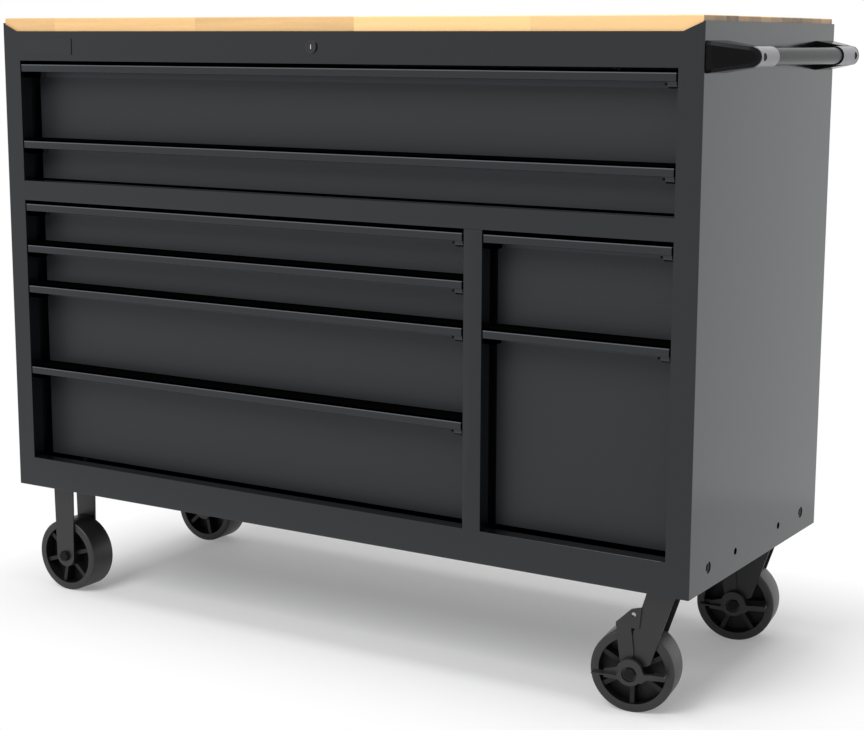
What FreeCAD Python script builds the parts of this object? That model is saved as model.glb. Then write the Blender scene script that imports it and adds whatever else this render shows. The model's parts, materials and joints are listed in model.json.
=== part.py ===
import FreeCAD, Part
import math
import os

# Rolling tool cabinet, millimetres.
# Shop coordinates: x from the left side panel, y from the front face to the back, z from the floor.

# Cabinet body
cabinet_width = 1320.0
cabinet_depth = 513.0
body_height = 823.0
floor_gap = 196.0
sheet = 1.5
stile_width = 38.0
return_depth = 25.0
corner_bend = 2.5
hem_depth = 28.0
rear_flange = 20.0
front_hem_drop = 14.0
corner_slope_run = 32.0
corner_slope_rise = 14.0
pan_flange = 45.0
pan_rise = 8.0
pan_notch_half = 12.0
body_bottom = floor_gap
body_top = floor_gap + body_height
pan_floor = body_bottom + pan_rise
rail_top = body_top - front_hem_drop

# Heights of the front openings above the body's bottom edge
upper_opening = (551.0, 759.0)
lower_opening = (52.0, 517.0)
post_left = 938.0
post_right = 970.0
left_edge = stile_width
right_edge = cabinet_width - stile_width

# Worktop
worktop_thickness = 28.0
worktop_proud = 8.3
worktop_gap = 0.2
worktop_round = 2.0
worktop_top = body_top + worktop_proud
deck_top = worktop_top - worktop_thickness
deck_lip = 8.0

# Uprights that carry the slides inside the sides and the divider
upright_width = 40.0
upright_front = 66.0
upright_rear = 415.0
slide_plane = stile_width - 1.0
upright_start = body_bottom + pan_flange + 1.0
upright_end = body_top - 33.0
divider_middle = (post_left + post_right) / 2.0
divider_end = 464.0

# Drawers: opening left, opening right, top of the pull, bottom of the face
drawer_table = {
    "upper_tall_drawer": (left_edge, right_edge, 755.0, 624.5),
    "upper_shallow_drawer": (left_edge, right_edge, 623.0, 553.0),
    "left_drawer_1": (left_edge, post_left, 513.0, 442.0),
    "left_drawer_2": (left_edge, post_left, 440.0, 370.0),
    "left_drawer_3": (left_edge, post_left, 368.0, 224.0),
    "left_drawer_4": (left_edge, post_left, 222.0, 53.5),
    "right_drawer_1": (post_right, right_edge, 513.0, 370.0),
    "right_drawer_2": (post_right, right_edge, 368.0, 54.5),
}
face_recess = 46.0
face_gap = 2.0
face_return = 12.0
box_sheet = 1.2
box_lift = 8.0
box_drop = 15.0
box_end = 465.2
box_rim = 7.0
back_wall_drop = 8.0

# Drawer pulls
pull_gap = 3.0
pull_sheet = 1.8
pull_strip = 15.0
pull_leg = 25.0
pull_lip = 5.0
pull_round = 2.0
cap_width = 14.0
cap_round = 9.0
cap_front = 2.4

# Ball bearing slides, three members nested in each other
slide_start = 62.0
slide_length = 400.0
slide_rise = 24.0
slide_sheet = 1.2
slide_depth = 12.9
outer_half = 22.5
outer_reach = 9.4
outer_lip = 2.0
middle_half = 18.6
middle_back = 2.4
middle_web = 5.2
middle_reach = 10.8
middle_inner_half = 15.6
inner_half = 11.0
inner_back = 7.6

# Lock in the top rail and the bar that it lifts behind the drawers
lock_x = cabinet_width / 2.0
lock_z = body_bottom + 785.0
lock_proud = 2.5
lock_flange_radius = 10.5
lock_body_radius = 9.4
lock_body_length = 24.0
lock_nut_radius = 11.0
lock_nut_length = 5.0
plug_bore_radius = 6.4
plug_fit = 0.05
plug_face = 2.2
keyway_width = 1.8
keyway_height = 8.0
keyway_depth = 6.0
crank_radius = 8.0
crank_start = 27.0
crank_sheet = 2.5
crank_pin_radius = 2.0
crank_pin_length = 7.0
eye_start = 31.0
eye_sheet = 2.5
eye_slot_play = 0.5
bar_width = 12.0
bar_front = 473.0
bar_back = 478.0
bar_bottom = body_bottom + 70.0
rod_half = 4.0
finger_front = 469.0
finger_height = 8.0
finger_reach = 43.0
catch_width = 16.0
catch_rise = 34.0
catch_length = 14.0
catch_lip = 12.0
catch_offset = 24.0
finger_clearance = 2.3
guide_play = 0.5
guide_sheet = 3.0
guide_height = 20.0

# Side handle
handle_reach = 47.0
handle_z = body_bottom + 774.0
tube_radius = 12.5
tube_wall = 1.5
sleeve_radius = 14.4
sleeve_start = 57.0
sleeve_end = 123.0
tube_start = 60.0
bracket_start = 4.0
bracket_end = 80.0
bracket_base = 9.0
bracket_half = 22.5
bracket_bevel = 5.0
nose_start = 50.0
saddle_lip = 4.0
saddle_end = 78.0
handle_screw_y = 69.0
handle_screw_hole = 4.0
handle_screw_head = 3.7

# Name plate, left bare
plate_left = 55.0
plate_right = 159.0
plate_low = body_bottom + 769.0
plate_high = body_bottom + 798.0
plate_proud = 1.2
plate_corner = 4.0

# Casters
wheel_radius = 65.0
wheel_half_width = 26.0
rim_inner_radius = 52.0
hub_radius = 23.0
hub_half_width = 26.5
web_half = 3.0
spoke_count = 6
spoke_width = 7.0
spoke_half_depth = 22.0
axle_radius = 6.0
axle_fit = 0.06
axle_head_radius = 9.5
axle_head_height = 6.0
leg_inside = 27.0
leg_sheet = 3.0
leg_width = 45.0
fixed_leg_round = 20.0
caster_plate_x = 110.0
caster_plate_y = 80.0
caster_plate_z = 4.0
caster_plate_corner = 8.0
plate_bottom = pan_floor - caster_plate_z
bolt_spacing_x = 88.0
bolt_spacing_y = 58.0
bolt_head_radius = 7.5
bolt_head_height = 5.0
fixed_caster_x = 82.0
swivel_caster_x = cabinet_width - 61.0
front_caster_y = 55.0
rear_caster_y = 450.0
trail = 41.5
rest_swivel_angle = 10.0
race_radius = 30.0
race_height = 6.0
race_gap = 0.4
kingpin_radius = 6.0
crown_top = plate_bottom - race_height - race_gap
crown_sheet = 4.0
swivel_leg_back = -19.5
swivel_leg_front = 24.5
swivel_leg_round = 16.0
swivel_toe = (-20.5, 85.0)
swivel_toe_round = 9.0
brake_sheet = 3.0
shoe_height = 3.0
pedal_start = 34.6
pedal_sheet = 8.0
pedal_radius = 20.5
pedal_boss_rise = 2.5
pedal_recess_radius = 12.0
pedal_recess = 4.0
pedal_head_height = 3.5
pedal_pad_depth = 9.0
pedal_left_pad = (-56.0, -20.0, -2.6, -0.6)
pedal_right_pad = (38.0, 56.0, 3.6, 6.2)

# The pedal's two wings seen from outside, about the axle: across and up
pedal_wings = [
    (-39.0, -9.0), (19.0, -12.0), (27.0, -5.5), (54.0, -4.5), (56.0, 5.0), (54.0, 7.0),
    (41.0, 4.0), (23.0, 2.0), (17.0, 10.0), (-17.0, 10.0), (-39.0, 4.0),
]

# Panel holes near the bottom of each side
side_hole_z = body_bottom + 33.0
side_bolt_y = (69.0, 446.0)
side_bolt_hole = 9.0
side_bolt_head = 5.5
side_hole_y = (171.5, 347.5)
side_hole_radius = 5.5

# The origin is the middle of the footprint, on the floor; the front brake pedal is foremost
handle_outer = handle_reach + sleeve_radius
swivel_angle = math.radians(rest_swivel_angle)
pedal_out = pedal_start + pedal_sheet + pedal_pad_depth
pedal_far = trail - pedal_left_pad[0]
pedal_front = front_caster_y - pedal_out * math.cos(swivel_angle) - pedal_far * math.sin(swivel_angle)
shift_x = -(cabinet_width + handle_outer) / 2.0
shift_y = -(cabinet_depth + pedal_front) / 2.0


def vec(x, y, z):
    return FreeCAD.Vector(x, y, z)


def block(x0, x1, y0, y1, z0, z1):
    """A box between two corners."""
    return Part.makeBox(x1 - x0, y1 - y0, z1 - z0, vec(x0, y0, z0))


def join(shapes):
    """One solid from pieces that touch or overlap."""
    return shapes[0].multiFuse(shapes[1:]).removeSplitter()


def rod(axis, centre, radius, start, end):
    """A cylinder along an axis; centre gives the two other coordinates."""
    if axis == "x":
        return Part.makeCylinder(radius, end - start, vec(start, centre[0], centre[1]), vec(1, 0, 0))
    if axis == "y":
        return Part.makeCylinder(radius, end - start, vec(centre[0], start, centre[1]), vec(0, 1, 0))
    return Part.makeCylinder(radius, end - start, vec(centre[0], centre[1], start), vec(0, 0, 1))


def prism(axis, outline, start, end):
    """A flat outline pushed along an axis; the outline holds the two other coordinates."""
    if axis == "x":
        points = [vec(start, a, b) for a, b in outline]
        direction = vec(end - start, 0, 0)
    elif axis == "y":
        points = [vec(a, start, b) for a, b in outline]
        direction = vec(0, end - start, 0)
    else:
        points = [vec(a, b, start) for a, b in outline]
        direction = vec(0, 0, end - start)
    face = Part.Face(Part.makePolygon(points + [points[0]]))
    return face.extrude(direction)


def hexagon(axis, centre, radius, start, end):
    """A six-sided bolt head or nut along an axis."""
    corners = []
    for step in range(6):
        angle = math.radians(60 * step)
        corners.append((centre[0] + radius * math.cos(angle), centre[1] + radius * math.sin(angle)))
    return prism(axis, corners, start, end)


def edges_along(shape, direction, through, tolerance=0.05):
    """The straight edges of a shape along a direction whose middle passes a given place."""
    found = []
    for edge in shape.Edges:
        if len(edge.Vertexes) != 2:
            continue
        start = edge.Vertexes[0].Point
        end = edge.Vertexes[1].Point
        run = end - start
        if run.Length < tolerance or abs(abs(run.normalize().dot(direction)) - 1.0) > 0.001:
            continue
        near = True
        for value, wanted in zip((start.x, start.y, start.z), through):
            if wanted is not None and abs(value - wanted) > tolerance:
                near = False
        if near:
            found.append(edge)
    return found


def mirror_x(shape):
    """The same piece on the cabinet's other side."""
    return shape.mirror(vec(cabinet_width / 2.0, 0, 0), vec(1, 0, 0))


def mirror_y(shape):
    """The same piece at the cabinet's other end, front to back."""
    return shape.mirror(vec(0, cabinet_depth / 2.0, 0), vec(0, 1, 0))


def export(name, shape):
    """Write one sub-part in the part's own frame."""
    placed = shape.copy()
    placed.translate(vec(shift_x, shift_y, 0))
    placed.exportStep("parts/" + name + ".step")


# Cabinet body

def upright(web, opening, front):
    """A hat channel that stands on a panel; web is its face for the slides."""
    toward = 1.0 if opening > web else -1.0
    low = upright_start
    high = upright_end
    back = front + upright_width
    face = block(min(web, web + toward * sheet), max(web, web + toward * sheet), front, back, low, high)
    near = block(min(web, opening), max(web, opening), front, front + sheet, low, high)
    far = block(min(web, opening), max(web, opening), back - sheet, back, low, high)
    return [face, near, far]


def side_panel():
    """The left side: skin, hemmed top, front stile with its sloped corner, rear flange and uprights."""
    skin_end = cabinet_depth - sheet
    skin = block(0, sheet, 0, skin_end, body_bottom, body_top)
    hem = block(sheet, 2 * sheet, sheet, skin_end - sheet, body_top - hem_depth, body_top)
    slope_foot = body_top - corner_slope_rise
    outline = [
        (0, body_bottom),
        (stile_width, body_bottom),
        (stile_width, slope_foot),
        (corner_slope_run, slope_foot),
        (0, body_top),
    ]
    stile = prism("y", outline, 0, sheet)
    return_top = deck_top - deck_lip - 1.0
    return_low = body_bottom + lower_opening[0]
    inner_return = block(stile_width - sheet, stile_width, 0, return_depth, return_low, return_top)
    back_flange = block(0, rear_flange, skin_end - sheet, skin_end, body_bottom, body_top)
    pieces = [skin, hem, stile, inner_return, back_flange]
    pieces += upright(slide_plane, sheet, upright_front)
    pieces += upright(slide_plane, sheet, upright_rear)
    panel = join(pieces)
    corner = edges_along(panel, vec(0, 0, 1), (0, 0, None))
    panel = panel.makeFillet(corner_bend, corner)
    holes = [rod("x", (y, side_hole_z), side_bolt_hole, -1, 2 * sheet) for y in side_bolt_y]
    holes += [rod("x", (y, side_hole_z), side_hole_radius, -1, 2 * sheet) for y in side_hole_y]
    for hole in holes:
        panel = panel.cut(hole)
    return panel


def bottom_pan():
    """The raised floor of the body, turned up at its edges, with a channel over each row of casters."""
    right = cabinet_width - sheet
    back = cabinet_depth - 2 * sheet
    rear = cabinet_depth - sheet
    flange_top = body_bottom + pan_flange
    edge_x = stile_width + 2.0
    pieces = [
        block(sheet, right, sheet, back, pan_floor, pan_floor + sheet),
        block(rear_flange, cabinet_width - rear_flange, back - sheet, rear, pan_floor, pan_floor + sheet),
        block(sheet, 2 * sheet, return_depth + 1.0, back, pan_floor, flange_top),
        block(right - sheet, right, return_depth + 1.0, back, pan_floor, flange_top),
        block(edge_x, cabinet_width - edge_x, sheet, 2 * sheet, pan_floor, flange_top - 5.0),
        block(rear_flange, cabinet_width - rear_flange, back, rear, pan_floor, flange_top),
    ]
    channel_half = bolt_spacing_x / 2.0 + 10.0
    channel_top = body_bottom + 30.0
    for middle in (fixed_caster_x, swivel_caster_x):
        x0 = middle - channel_half
        x1 = middle + channel_half
        y0 = 2 * sheet
        y1 = back - sheet
        pieces.append(block(x0, x1, y0, y1, channel_top - sheet, channel_top))
        pieces.append(block(x0, x0 + sheet, y0, y1, pan_floor, channel_top))
        pieces.append(block(x1 - sheet, x1, y0, y1, pan_floor, channel_top))
    pan = join(pieces)
    notch_low = side_hole_z - pan_notch_half
    for x0 in (0, cabinet_width - 4 * sheet):
        for y in side_hole_y:
            notch = block(x0, x0 + 4 * sheet, y - pan_notch_half, y + pan_notch_half, notch_low, flange_top + 1)
            pan = pan.cut(notch)
    return pan


def back_panel():
    """The rear skin over the sides' flanges, with two pairs of lugs that guide the lock bar."""
    front = cabinet_depth - sheet
    pieces = [block(0, cabinet_width, front, cabinet_depth, body_bottom, body_top)]
    half = bar_width / 2.0 + guide_play
    for z in (body_bottom + 130.0, body_bottom + 690.0):
        for side in (-1, 1):
            inner = divider_middle + side * half
            outer = inner + side * guide_sheet
            pieces.append(block(min(inner, outer), max(inner, outer), bar_front, front, z, z + guide_height))
    return join(pieces)


def rail(low, high, x0, x1, hemmed=False):
    """A front rail: a face with turned-in flanges, or a hem along its upper edge."""
    face = block(x0, x1, 0, sheet, low, high)
    pieces = [face, block(x0, x1, sheet, return_depth, low, low + sheet)]
    if hemmed:
        pieces.append(block(x0, x1, sheet, 2 * sheet, high - 14.0, high))
    else:
        pieces.append(block(x0, x1, sheet, return_depth, high - sheet, high))
    return join(pieces)


def top_rail():
    """The rail under the worktop's front edge, with the hole for the lock."""
    piece = rail(body_bottom + upper_opening[1], rail_top, left_edge, right_edge, hemmed=True)
    return piece.cut(rod("y", (lock_x, lock_z), lock_body_radius + 0.2, -1, return_depth))


def middle_rail():
    """The rail between the full-width drawers and the lower bays."""
    return rail(body_bottom + lower_opening[1], body_bottom + upper_opening[0], left_edge, right_edge)


def bottom_rail():
    """The rail below the lowest drawers."""
    low = body_bottom
    high = body_bottom + lower_opening[0]
    face = block(left_edge, right_edge, 0, sheet, low, high)
    return join([face, block(left_edge, right_edge, sheet, return_depth, high - sheet, high)])


def center_post():
    """The upright of the front frame between the two lower bays."""
    low = body_bottom + lower_opening[0]
    high = body_bottom + lower_opening[1]
    return join([
        block(post_left, post_right, 0, sheet, low, high),
        block(post_left, post_left + sheet, sheet, return_depth, low, high),
        block(post_right - sheet, post_right, sheet, return_depth, low, high),
    ])


def divider_panel():
    """The wall between the lower bays, with hat channels on both its sides."""
    skin_left = divider_middle - sheet / 2.0
    skin_right = divider_middle + sheet / 2.0
    low = pan_floor + sheet
    high = body_bottom + lower_opening[1] - 2.0
    pieces = [block(skin_left, skin_right, return_depth + 1.0, divider_end, low, high)]
    for front in (upright_front, upright_rear):
        back = front + upright_width
        start = body_bottom + 60.0
        for web, skin in ((post_left + 1.0, skin_left), (post_right - 1.0, skin_right)):
            toward = 1.0 if skin > web else -1.0
            inner = web + toward * sheet
            pieces.append(block(min(web, inner), max(web, inner), front, back, start, high))
            pieces.append(block(min(web, skin), max(web, skin), front, front + sheet, start, high))
            pieces.append(block(min(web, skin), max(web, skin), back - sheet, back, start, high))
    return join(pieces)


def top_deck():
    """The tray under the worktop, with its front and rear edges turned down."""
    x0 = 2 * sheet
    x1 = cabinet_width - 2 * sheet
    y0 = 2 * sheet
    y1 = cabinet_depth - 2 * sheet
    rear_x0 = rear_flange
    rear_x1 = cabinet_width - rear_flange
    return join([
        block(x0, x1, y0, y1, deck_top - sheet, deck_top),
        block(x0, x1, y0, y0 + sheet, deck_top - deck_lip, deck_top),
        block(rear_x0, rear_x1, y1 - sheet, y1 + sheet, deck_top - sheet, deck_top),
        block(rear_x0, rear_x1, y1, y1 + sheet, deck_top - deck_lip, deck_top),
    ])


def worktop():
    """The wooden top that lies in the tray between the hemmed edges."""
    gap = 2 * sheet + worktop_gap
    slab = block(gap, cabinet_width - gap, gap, cabinet_depth - gap, deck_top, worktop_top)
    rim = []
    for y in (gap, cabinet_depth - gap):
        rim += edges_along(slab, vec(1, 0, 0), (None, y, worktop_top))
    for x in (gap, cabinet_width - gap):
        rim += edges_along(slab, vec(0, 1, 0), (x, None, worktop_top))
    return slab.makeFillet(worktop_round, rim)


def name_plate():
    """A bare plate on the top rail."""
    plate = block(plate_left, plate_right, -plate_proud, 0, plate_low, plate_high)
    corners = []
    for x in (plate_left, plate_right):
        for z in (plate_low, plate_high):
            corners += edges_along(plate, vec(0, 1, 0), (x, None, z))
    return plate.makeFillet(plate_corner, corners)


# Slides

def slide_mounts():
    """For each drawer, its two mounting planes with the direction into the drawer, and its height."""
    mounts = {}
    for name, (x0, x1, top, bottom) in drawer_table.items():
        z = body_bottom + bottom + box_lift + slide_rise
        mounts[name] = ((x0 - 1.0, 1.0, z), (x1 + 1.0, -1.0, z))
    return mounts


def strip(mount, near, far, low, high):
    """A straight strip of a slide; near and far are distances from its mounting plane."""
    plane, inward, z = mount
    x0 = plane + inward * near
    x1 = plane + inward * far
    y0 = slide_start
    y1 = slide_start + slide_length
    return block(min(x0, x1), max(x0, x1), y0, y1, z + low, z + high)


def channel(mount, back, front, half, lip=0.0):
    """A channel section; back holds its web, and front is where its flanges end."""
    web_end = back + slide_sheet if front > back else back - slide_sheet
    pieces = [strip(mount, min(back, web_end), max(back, web_end), -half, half)]
    near = min(back, front)
    far = max(back, front)
    for side in (-1, 1):
        inside = side * (half - slide_sheet)
        outside = side * half
        pieces.append(strip(mount, near, far, min(inside, outside), max(inside, outside)))
        if lip:
            tip = side * (half - slide_sheet - lip)
            pieces.append(strip(mount, front - slide_sheet, front, min(tip, outside), max(tip, outside)))
    return pieces


def outer_member(mount):
    """The fixed channel of a slide."""
    return join(channel(mount, 0.0, outer_reach, outer_half, outer_lip))


def middle_member(mount):
    """The running channel between the fixed one and the drawer's."""
    pieces = channel(mount, middle_web + slide_sheet, middle_back, middle_half)
    pieces += channel(mount, middle_web, middle_reach, middle_inner_half)
    return join(pieces)


def inner_member(mount):
    """The channel that is riveted to the drawer's side."""
    return channel(mount, slide_depth, inner_back, inner_half)


# Drawers

def drawer_box(name):
    """A sheet steel drawer: recessed face with turned-back edges, open box, slide channels, lock catch."""
    x0, x1, top, bottom = drawer_table[name]
    face_left = x0 + face_gap
    face_right = x1 - face_gap
    face_low = body_bottom + bottom
    face_high = body_bottom + top - pull_sheet
    face_back = face_recess + sheet
    turn = face_recess + face_return
    box_left = x0 - 1.0 + slide_depth
    box_right = x1 + 1.0 - slide_depth
    low = face_low + box_lift
    high = body_bottom + top - box_drop
    rear = box_end - box_sheet
    back_high = high - back_wall_drop
    pieces = [
        block(face_left, face_right, face_recess, face_back, face_low, face_high),
        block(face_left, face_left + sheet, face_recess, turn, face_low, face_high - pull_leg),
        block(face_right - sheet, face_right, face_recess, turn, face_low, face_high - pull_leg),
        block(face_left, face_right, face_recess, turn, face_low, face_low + sheet),
        block(box_left, box_right, face_recess, box_end, low, low + box_sheet),
        block(box_left, box_left + box_sheet, face_recess, box_end, low, high),
        block(box_right - box_sheet, box_right, face_recess, box_end, low, high),
        block(box_left, box_left + box_rim, face_back, box_end, high - box_sheet, high),
        block(box_right - box_rim, box_right, face_back, box_end, high - box_sheet, high),
        block(box_left, box_right, rear, box_end, low, back_high),
        block(box_left, box_right, rear - box_rim, box_end, back_high - box_sheet, back_high),
    ]
    for mount in slide_mounts()[name]:
        pieces += inner_member(mount)
    catch_low, catch_left = catch_place(name)
    catch_right = catch_left + catch_width
    catch_end = box_end + catch_length
    pieces.append(block(catch_left, catch_right, rear, catch_end, catch_low, catch_low + sheet))
    pieces.append(block(catch_left, catch_right, catch_end - sheet, catch_end, catch_low - catch_lip, catch_low))
    return join(pieces)


def catch_place(name):
    """Height and left edge of a drawer's lock catch, beside the lock bar."""
    x0, x1, top, bottom = drawer_table[name]
    z = body_bottom + bottom + box_lift + catch_rise
    if x0 < divider_middle:
        return z, divider_middle - bar_width / 2.0 - catch_offset - catch_width
    return z, divider_middle + bar_width / 2.0 + catch_offset


def drawer_pull(name):
    """The full-width pull: a folded strip that hangs in front of the face, with moulded end caps."""
    x0, x1, top, bottom = drawer_table[name]
    left = x0 + pull_gap
    right = x1 - pull_gap
    high = body_bottom + top
    low = high - pull_strip
    pieces = [
        block(left, right, 0, pull_sheet, low, high),
        block(left, right, 0, face_recess + sheet, high - pull_sheet, high),
        block(left, right, face_recess - pull_sheet, face_recess, high - pull_leg, high),
        block(left, right, 0, pull_lip, low, low + pull_sheet),
    ]
    folded = join(pieces)
    bends = edges_along(folded, vec(1, 0, 0), (None, 0, high)) + edges_along(folded, vec(1, 0, 0), (None, 0, low))
    folded = folded.makeFillet(pull_round * 0.8, bends)
    caps = []
    for cap_left in (left, right - cap_width):
        cap = block(cap_left, cap_left + cap_width, cap_front, face_recess - 1.0, high - pull_leg, high - 1.0)
        nose = edges_along(cap, vec(1, 0, 0), (None, cap_front, high - pull_leg))
        caps.append(cap.makeFillet(cap_round, nose))
    return join([folded] + caps)


# Lock

def lock_barrel():
    """The housing of the cylinder lock, held in the rail by its flange and nut."""
    centre = (lock_x, lock_z)
    flange = rod("y", centre, lock_flange_radius, -lock_proud, 0)
    body = rod("y", centre, lock_body_radius, 0, lock_body_length)
    nut = hexagon("y", centre, lock_nut_radius, sheet, sheet + lock_nut_length)
    bore = rod("y", centre, plug_bore_radius, -lock_proud - 1, lock_body_length + 1)
    return join([flange, body, nut]).cut(bore)


def lock_plug():
    """The key plug with its keyway, and the crank pin that lifts the bar."""
    centre = (lock_x, lock_z)
    radius = plug_bore_radius - plug_fit
    body = rod("y", centre, radius, -plug_face, crank_start)
    key = block(
        lock_x - keyway_width / 2.0, lock_x + keyway_width / 2.0,
        -plug_face - 1, keyway_depth,
        lock_z - keyway_height / 2.0, lock_z + keyway_height / 2.0,
    )
    reach = crank_radius * math.sqrt(0.5)
    pin_centre = (lock_x + reach, lock_z - reach)
    arm = join([
        rod("y", centre, radius, crank_start, crank_start + crank_sheet),
        rod("y", pin_centre, crank_pin_radius + 2.0, crank_start, crank_start + crank_sheet),
    ])
    pin = rod("y", pin_centre, crank_pin_radius, crank_start, crank_start + crank_sheet + crank_pin_length)
    return join([body.cut(key), arm, pin])


def lock_bar():
    """The lifting frame: slotted eye, long rod, cross bar, upright bar and a finger for every drawer."""
    reach = crank_radius * math.sqrt(0.5)
    pin_x = lock_x + reach
    pin_z = lock_z - reach
    slot_half = crank_pin_radius + eye_slot_play
    travel_x = crank_radius - reach
    eye = block(lock_x - rod_half, pin_x + 12.0, eye_start, eye_start + eye_sheet, pin_z - 9.0, pin_z + 9.0)
    slot = block(
        pin_x - crank_pin_radius - 0.6, pin_x + travel_x + crank_pin_radius + 0.6,
        eye_start - 1, eye_start + eye_sheet + 1,
        pin_z - slot_half, pin_z + slot_half,
    )
    eye = eye.cut(slot)
    rod_low = pin_z - 8.5
    rod_high = rod_low + 2 * rod_half
    long_rod = block(lock_x - rod_half, lock_x, eye_start, bar_back, rod_low, rod_high)
    bar_left = divider_middle - bar_width / 2.0
    bar_right = divider_middle + bar_width / 2.0
    cross = block(lock_x - rod_half, bar_right, bar_front, bar_back, rod_low, rod_high)
    upright_bar = block(bar_left, bar_right, bar_front, bar_back, bar_bottom, rod_high)
    pieces = [eye, long_rod, cross, upright_bar]
    for name in drawer_table:
        z, catch_left = catch_place(name)
        top = z - catch_lip - finger_clearance
        if catch_left < divider_middle:
            x0, x1 = bar_left - finger_reach, bar_right
        else:
            x0, x1 = bar_left, bar_right + finger_reach
        pieces.append(block(x0, x1, finger_front, bar_front + 1.0, top - finger_height, top))
    return join(pieces)


# Side handle

def handle_bracket():
    """The front bracket: its front view crossed with its plan, bevelled in front, with a saddle for the sleeve."""
    side = cabinet_width
    tube_x = side + handle_reach
    nose_x = tube_x + sleeve_radius
    slope = (nose_start - bracket_start) / (nose_x - side - bracket_base)
    front_view = leg_outline(-bracket_half, bracket_half, handle_reach, 0, 0, sleeve_radius)
    body = front_view.extrude(vec(0, cabinet_depth, 0))
    body.rotate(vec(0, 0, 0), vec(0, 1, 0), -90)
    body.translate(vec(tube_x, 0, handle_z))
    plan = [
        (side, bracket_start),
        (side + bracket_base, bracket_start),
        (nose_x + 1.0, nose_start + slope),
        (nose_x + 1.0, sleeve_start),
        (tube_x - saddle_lip, sleeve_start),
        (tube_x - saddle_lip, saddle_end),
        (side, bracket_end),
    ]
    body = body.common(prism("z", plan, handle_z - 2 * bracket_half, handle_z + 2 * bracket_half))
    body = body.makeChamfer(bracket_bevel, front_rim(body, side))
    saddle = rod("y", (tube_x, handle_z), sleeve_radius, sleeve_start, sleeve_end)
    return body.cut(saddle)


def front_rim(body, side):
    """The outer edges of the bracket's front faces, without the one on the side panel."""
    found = {}
    for face in body.Faces:
        if face.normalAt(0, 0).y > -0.5 or not isinstance(face.Surface, Part.Plane):
            continue
        for edge in face.Edges:
            found.setdefault(edge.hashCode(), []).append(edge)
    return [edges[0] for edges in found.values() if len(edges) == 1 and edges[0].BoundBox.XMax > side + 0.1]


def handle_sleeve():
    """The grey sleeve over the front end of the tube, with its screw hole."""
    tube_x = cabinet_width + handle_reach
    centre = (tube_x, handle_z)
    sleeve = rod("y", centre, sleeve_radius, sleeve_start, sleeve_end)
    bore = rod("y", centre, tube_radius, tube_start, sleeve_end + 1)
    hole = rod("x", (handle_screw_y, handle_z), handle_screw_hole, tube_x, tube_x + 2 * sleeve_radius)
    return sleeve.cut(bore).cut(hole)


def handle_tube():
    """The straight grip between the two sleeves."""
    tube_x = cabinet_width + handle_reach
    centre = (tube_x, handle_z)
    end = cabinet_depth - tube_start
    tube = rod("y", centre, tube_radius, tube_start, end)
    return tube.cut(rod("y", centre, tube_radius - tube_wall, tube_start - 1, end + 1))


# Casters

def caster_places():
    """Centre of each caster's plate."""
    places = []
    for x in (fixed_caster_x, swivel_caster_x):
        for y in (front_caster_y, rear_caster_y):
            places.append((x, y))
    return places


def caster_bolt_places():
    """Every bolt of the four caster plates."""
    places = []
    for x, y in caster_places():
        for side_x in (-1, 1):
            for side_y in (-1, 1):
                places.append((x + side_x * bolt_spacing_x / 2.0, y + side_y * bolt_spacing_y / 2.0))
    return places


def caster_plate(x, y):
    """A plate with cut corners, under the pan."""
    half_x = caster_plate_x / 2.0
    half_y = caster_plate_y / 2.0
    plate = block(x - half_x, x + half_x, y - half_y, y + half_y, plate_bottom, pan_floor)
    corners = []
    for cx in (x - half_x, x + half_x):
        for cy in (y - half_y, y + half_y):
            corners += edges_along(plate, vec(0, 0, 1), (cx, cy, None))
    return plate.makeChamfer(caster_plate_corner, corners)


def leg_outline(left, right, top, axle_x, axle_z, end_radius):
    """A leg seen from the side: straight edges that run tangent into a round end at the axle."""
    def tangent(corner_x, side):
        dx = axle_x - corner_x
        dz = axle_z - top
        distance = math.hypot(dx, dz)
        bearing = math.atan2(dz, dx)
        spread = math.acos(end_radius / distance)
        angle = bearing + math.pi + side * spread
        return vec(axle_x + end_radius * math.cos(angle), 0, axle_z + end_radius * math.sin(angle))
    left_touch = tangent(left, 1)
    right_touch = tangent(right, -1)
    lowest = vec(axle_x, 0, axle_z - end_radius)
    top_left = vec(left, 0, top)
    top_right = vec(right, 0, top)
    edges = [
        Part.makeLine(top_right, top_left),
        Part.makeLine(top_left, left_touch),
        Part.Arc(left_touch, lowest, right_touch).toShape(),
        Part.makeLine(right_touch, top_right),
    ]
    return Part.Face(Part.Wire(edges))


def pair_of_legs(outline, axle_x, axle_z):
    """The two legs of a fork about the middle plane y = 0, with the holes for the axle."""
    legs = []
    for inner in (-leg_inside - leg_sheet, leg_inside):
        leg = outline.extrude(vec(0, leg_sheet, 0))
        leg.translate(vec(0, inner, 0))
        legs.append(leg.cut(rod("y", (axle_x, axle_z), axle_radius, inner - 1, inner + leg_sheet + 1)))
    return legs


def fixed_fork(y):
    """A fixed caster's fork: plate, folded crown and two straight legs."""
    half = leg_width / 2.0
    outline = leg_outline(-half, half, plate_bottom, 0, wheel_radius, fixed_leg_round)
    outer = leg_inside + leg_sheet
    crown = block(-half, half, -outer, outer, plate_bottom - leg_sheet, plate_bottom)
    legs = pair_of_legs(outline, 0, wheel_radius)
    fork = join([crown] + legs)
    fork.translate(vec(fixed_caster_x, y, 0))
    return join([caster_plate(fixed_caster_x, y), fork])


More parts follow.
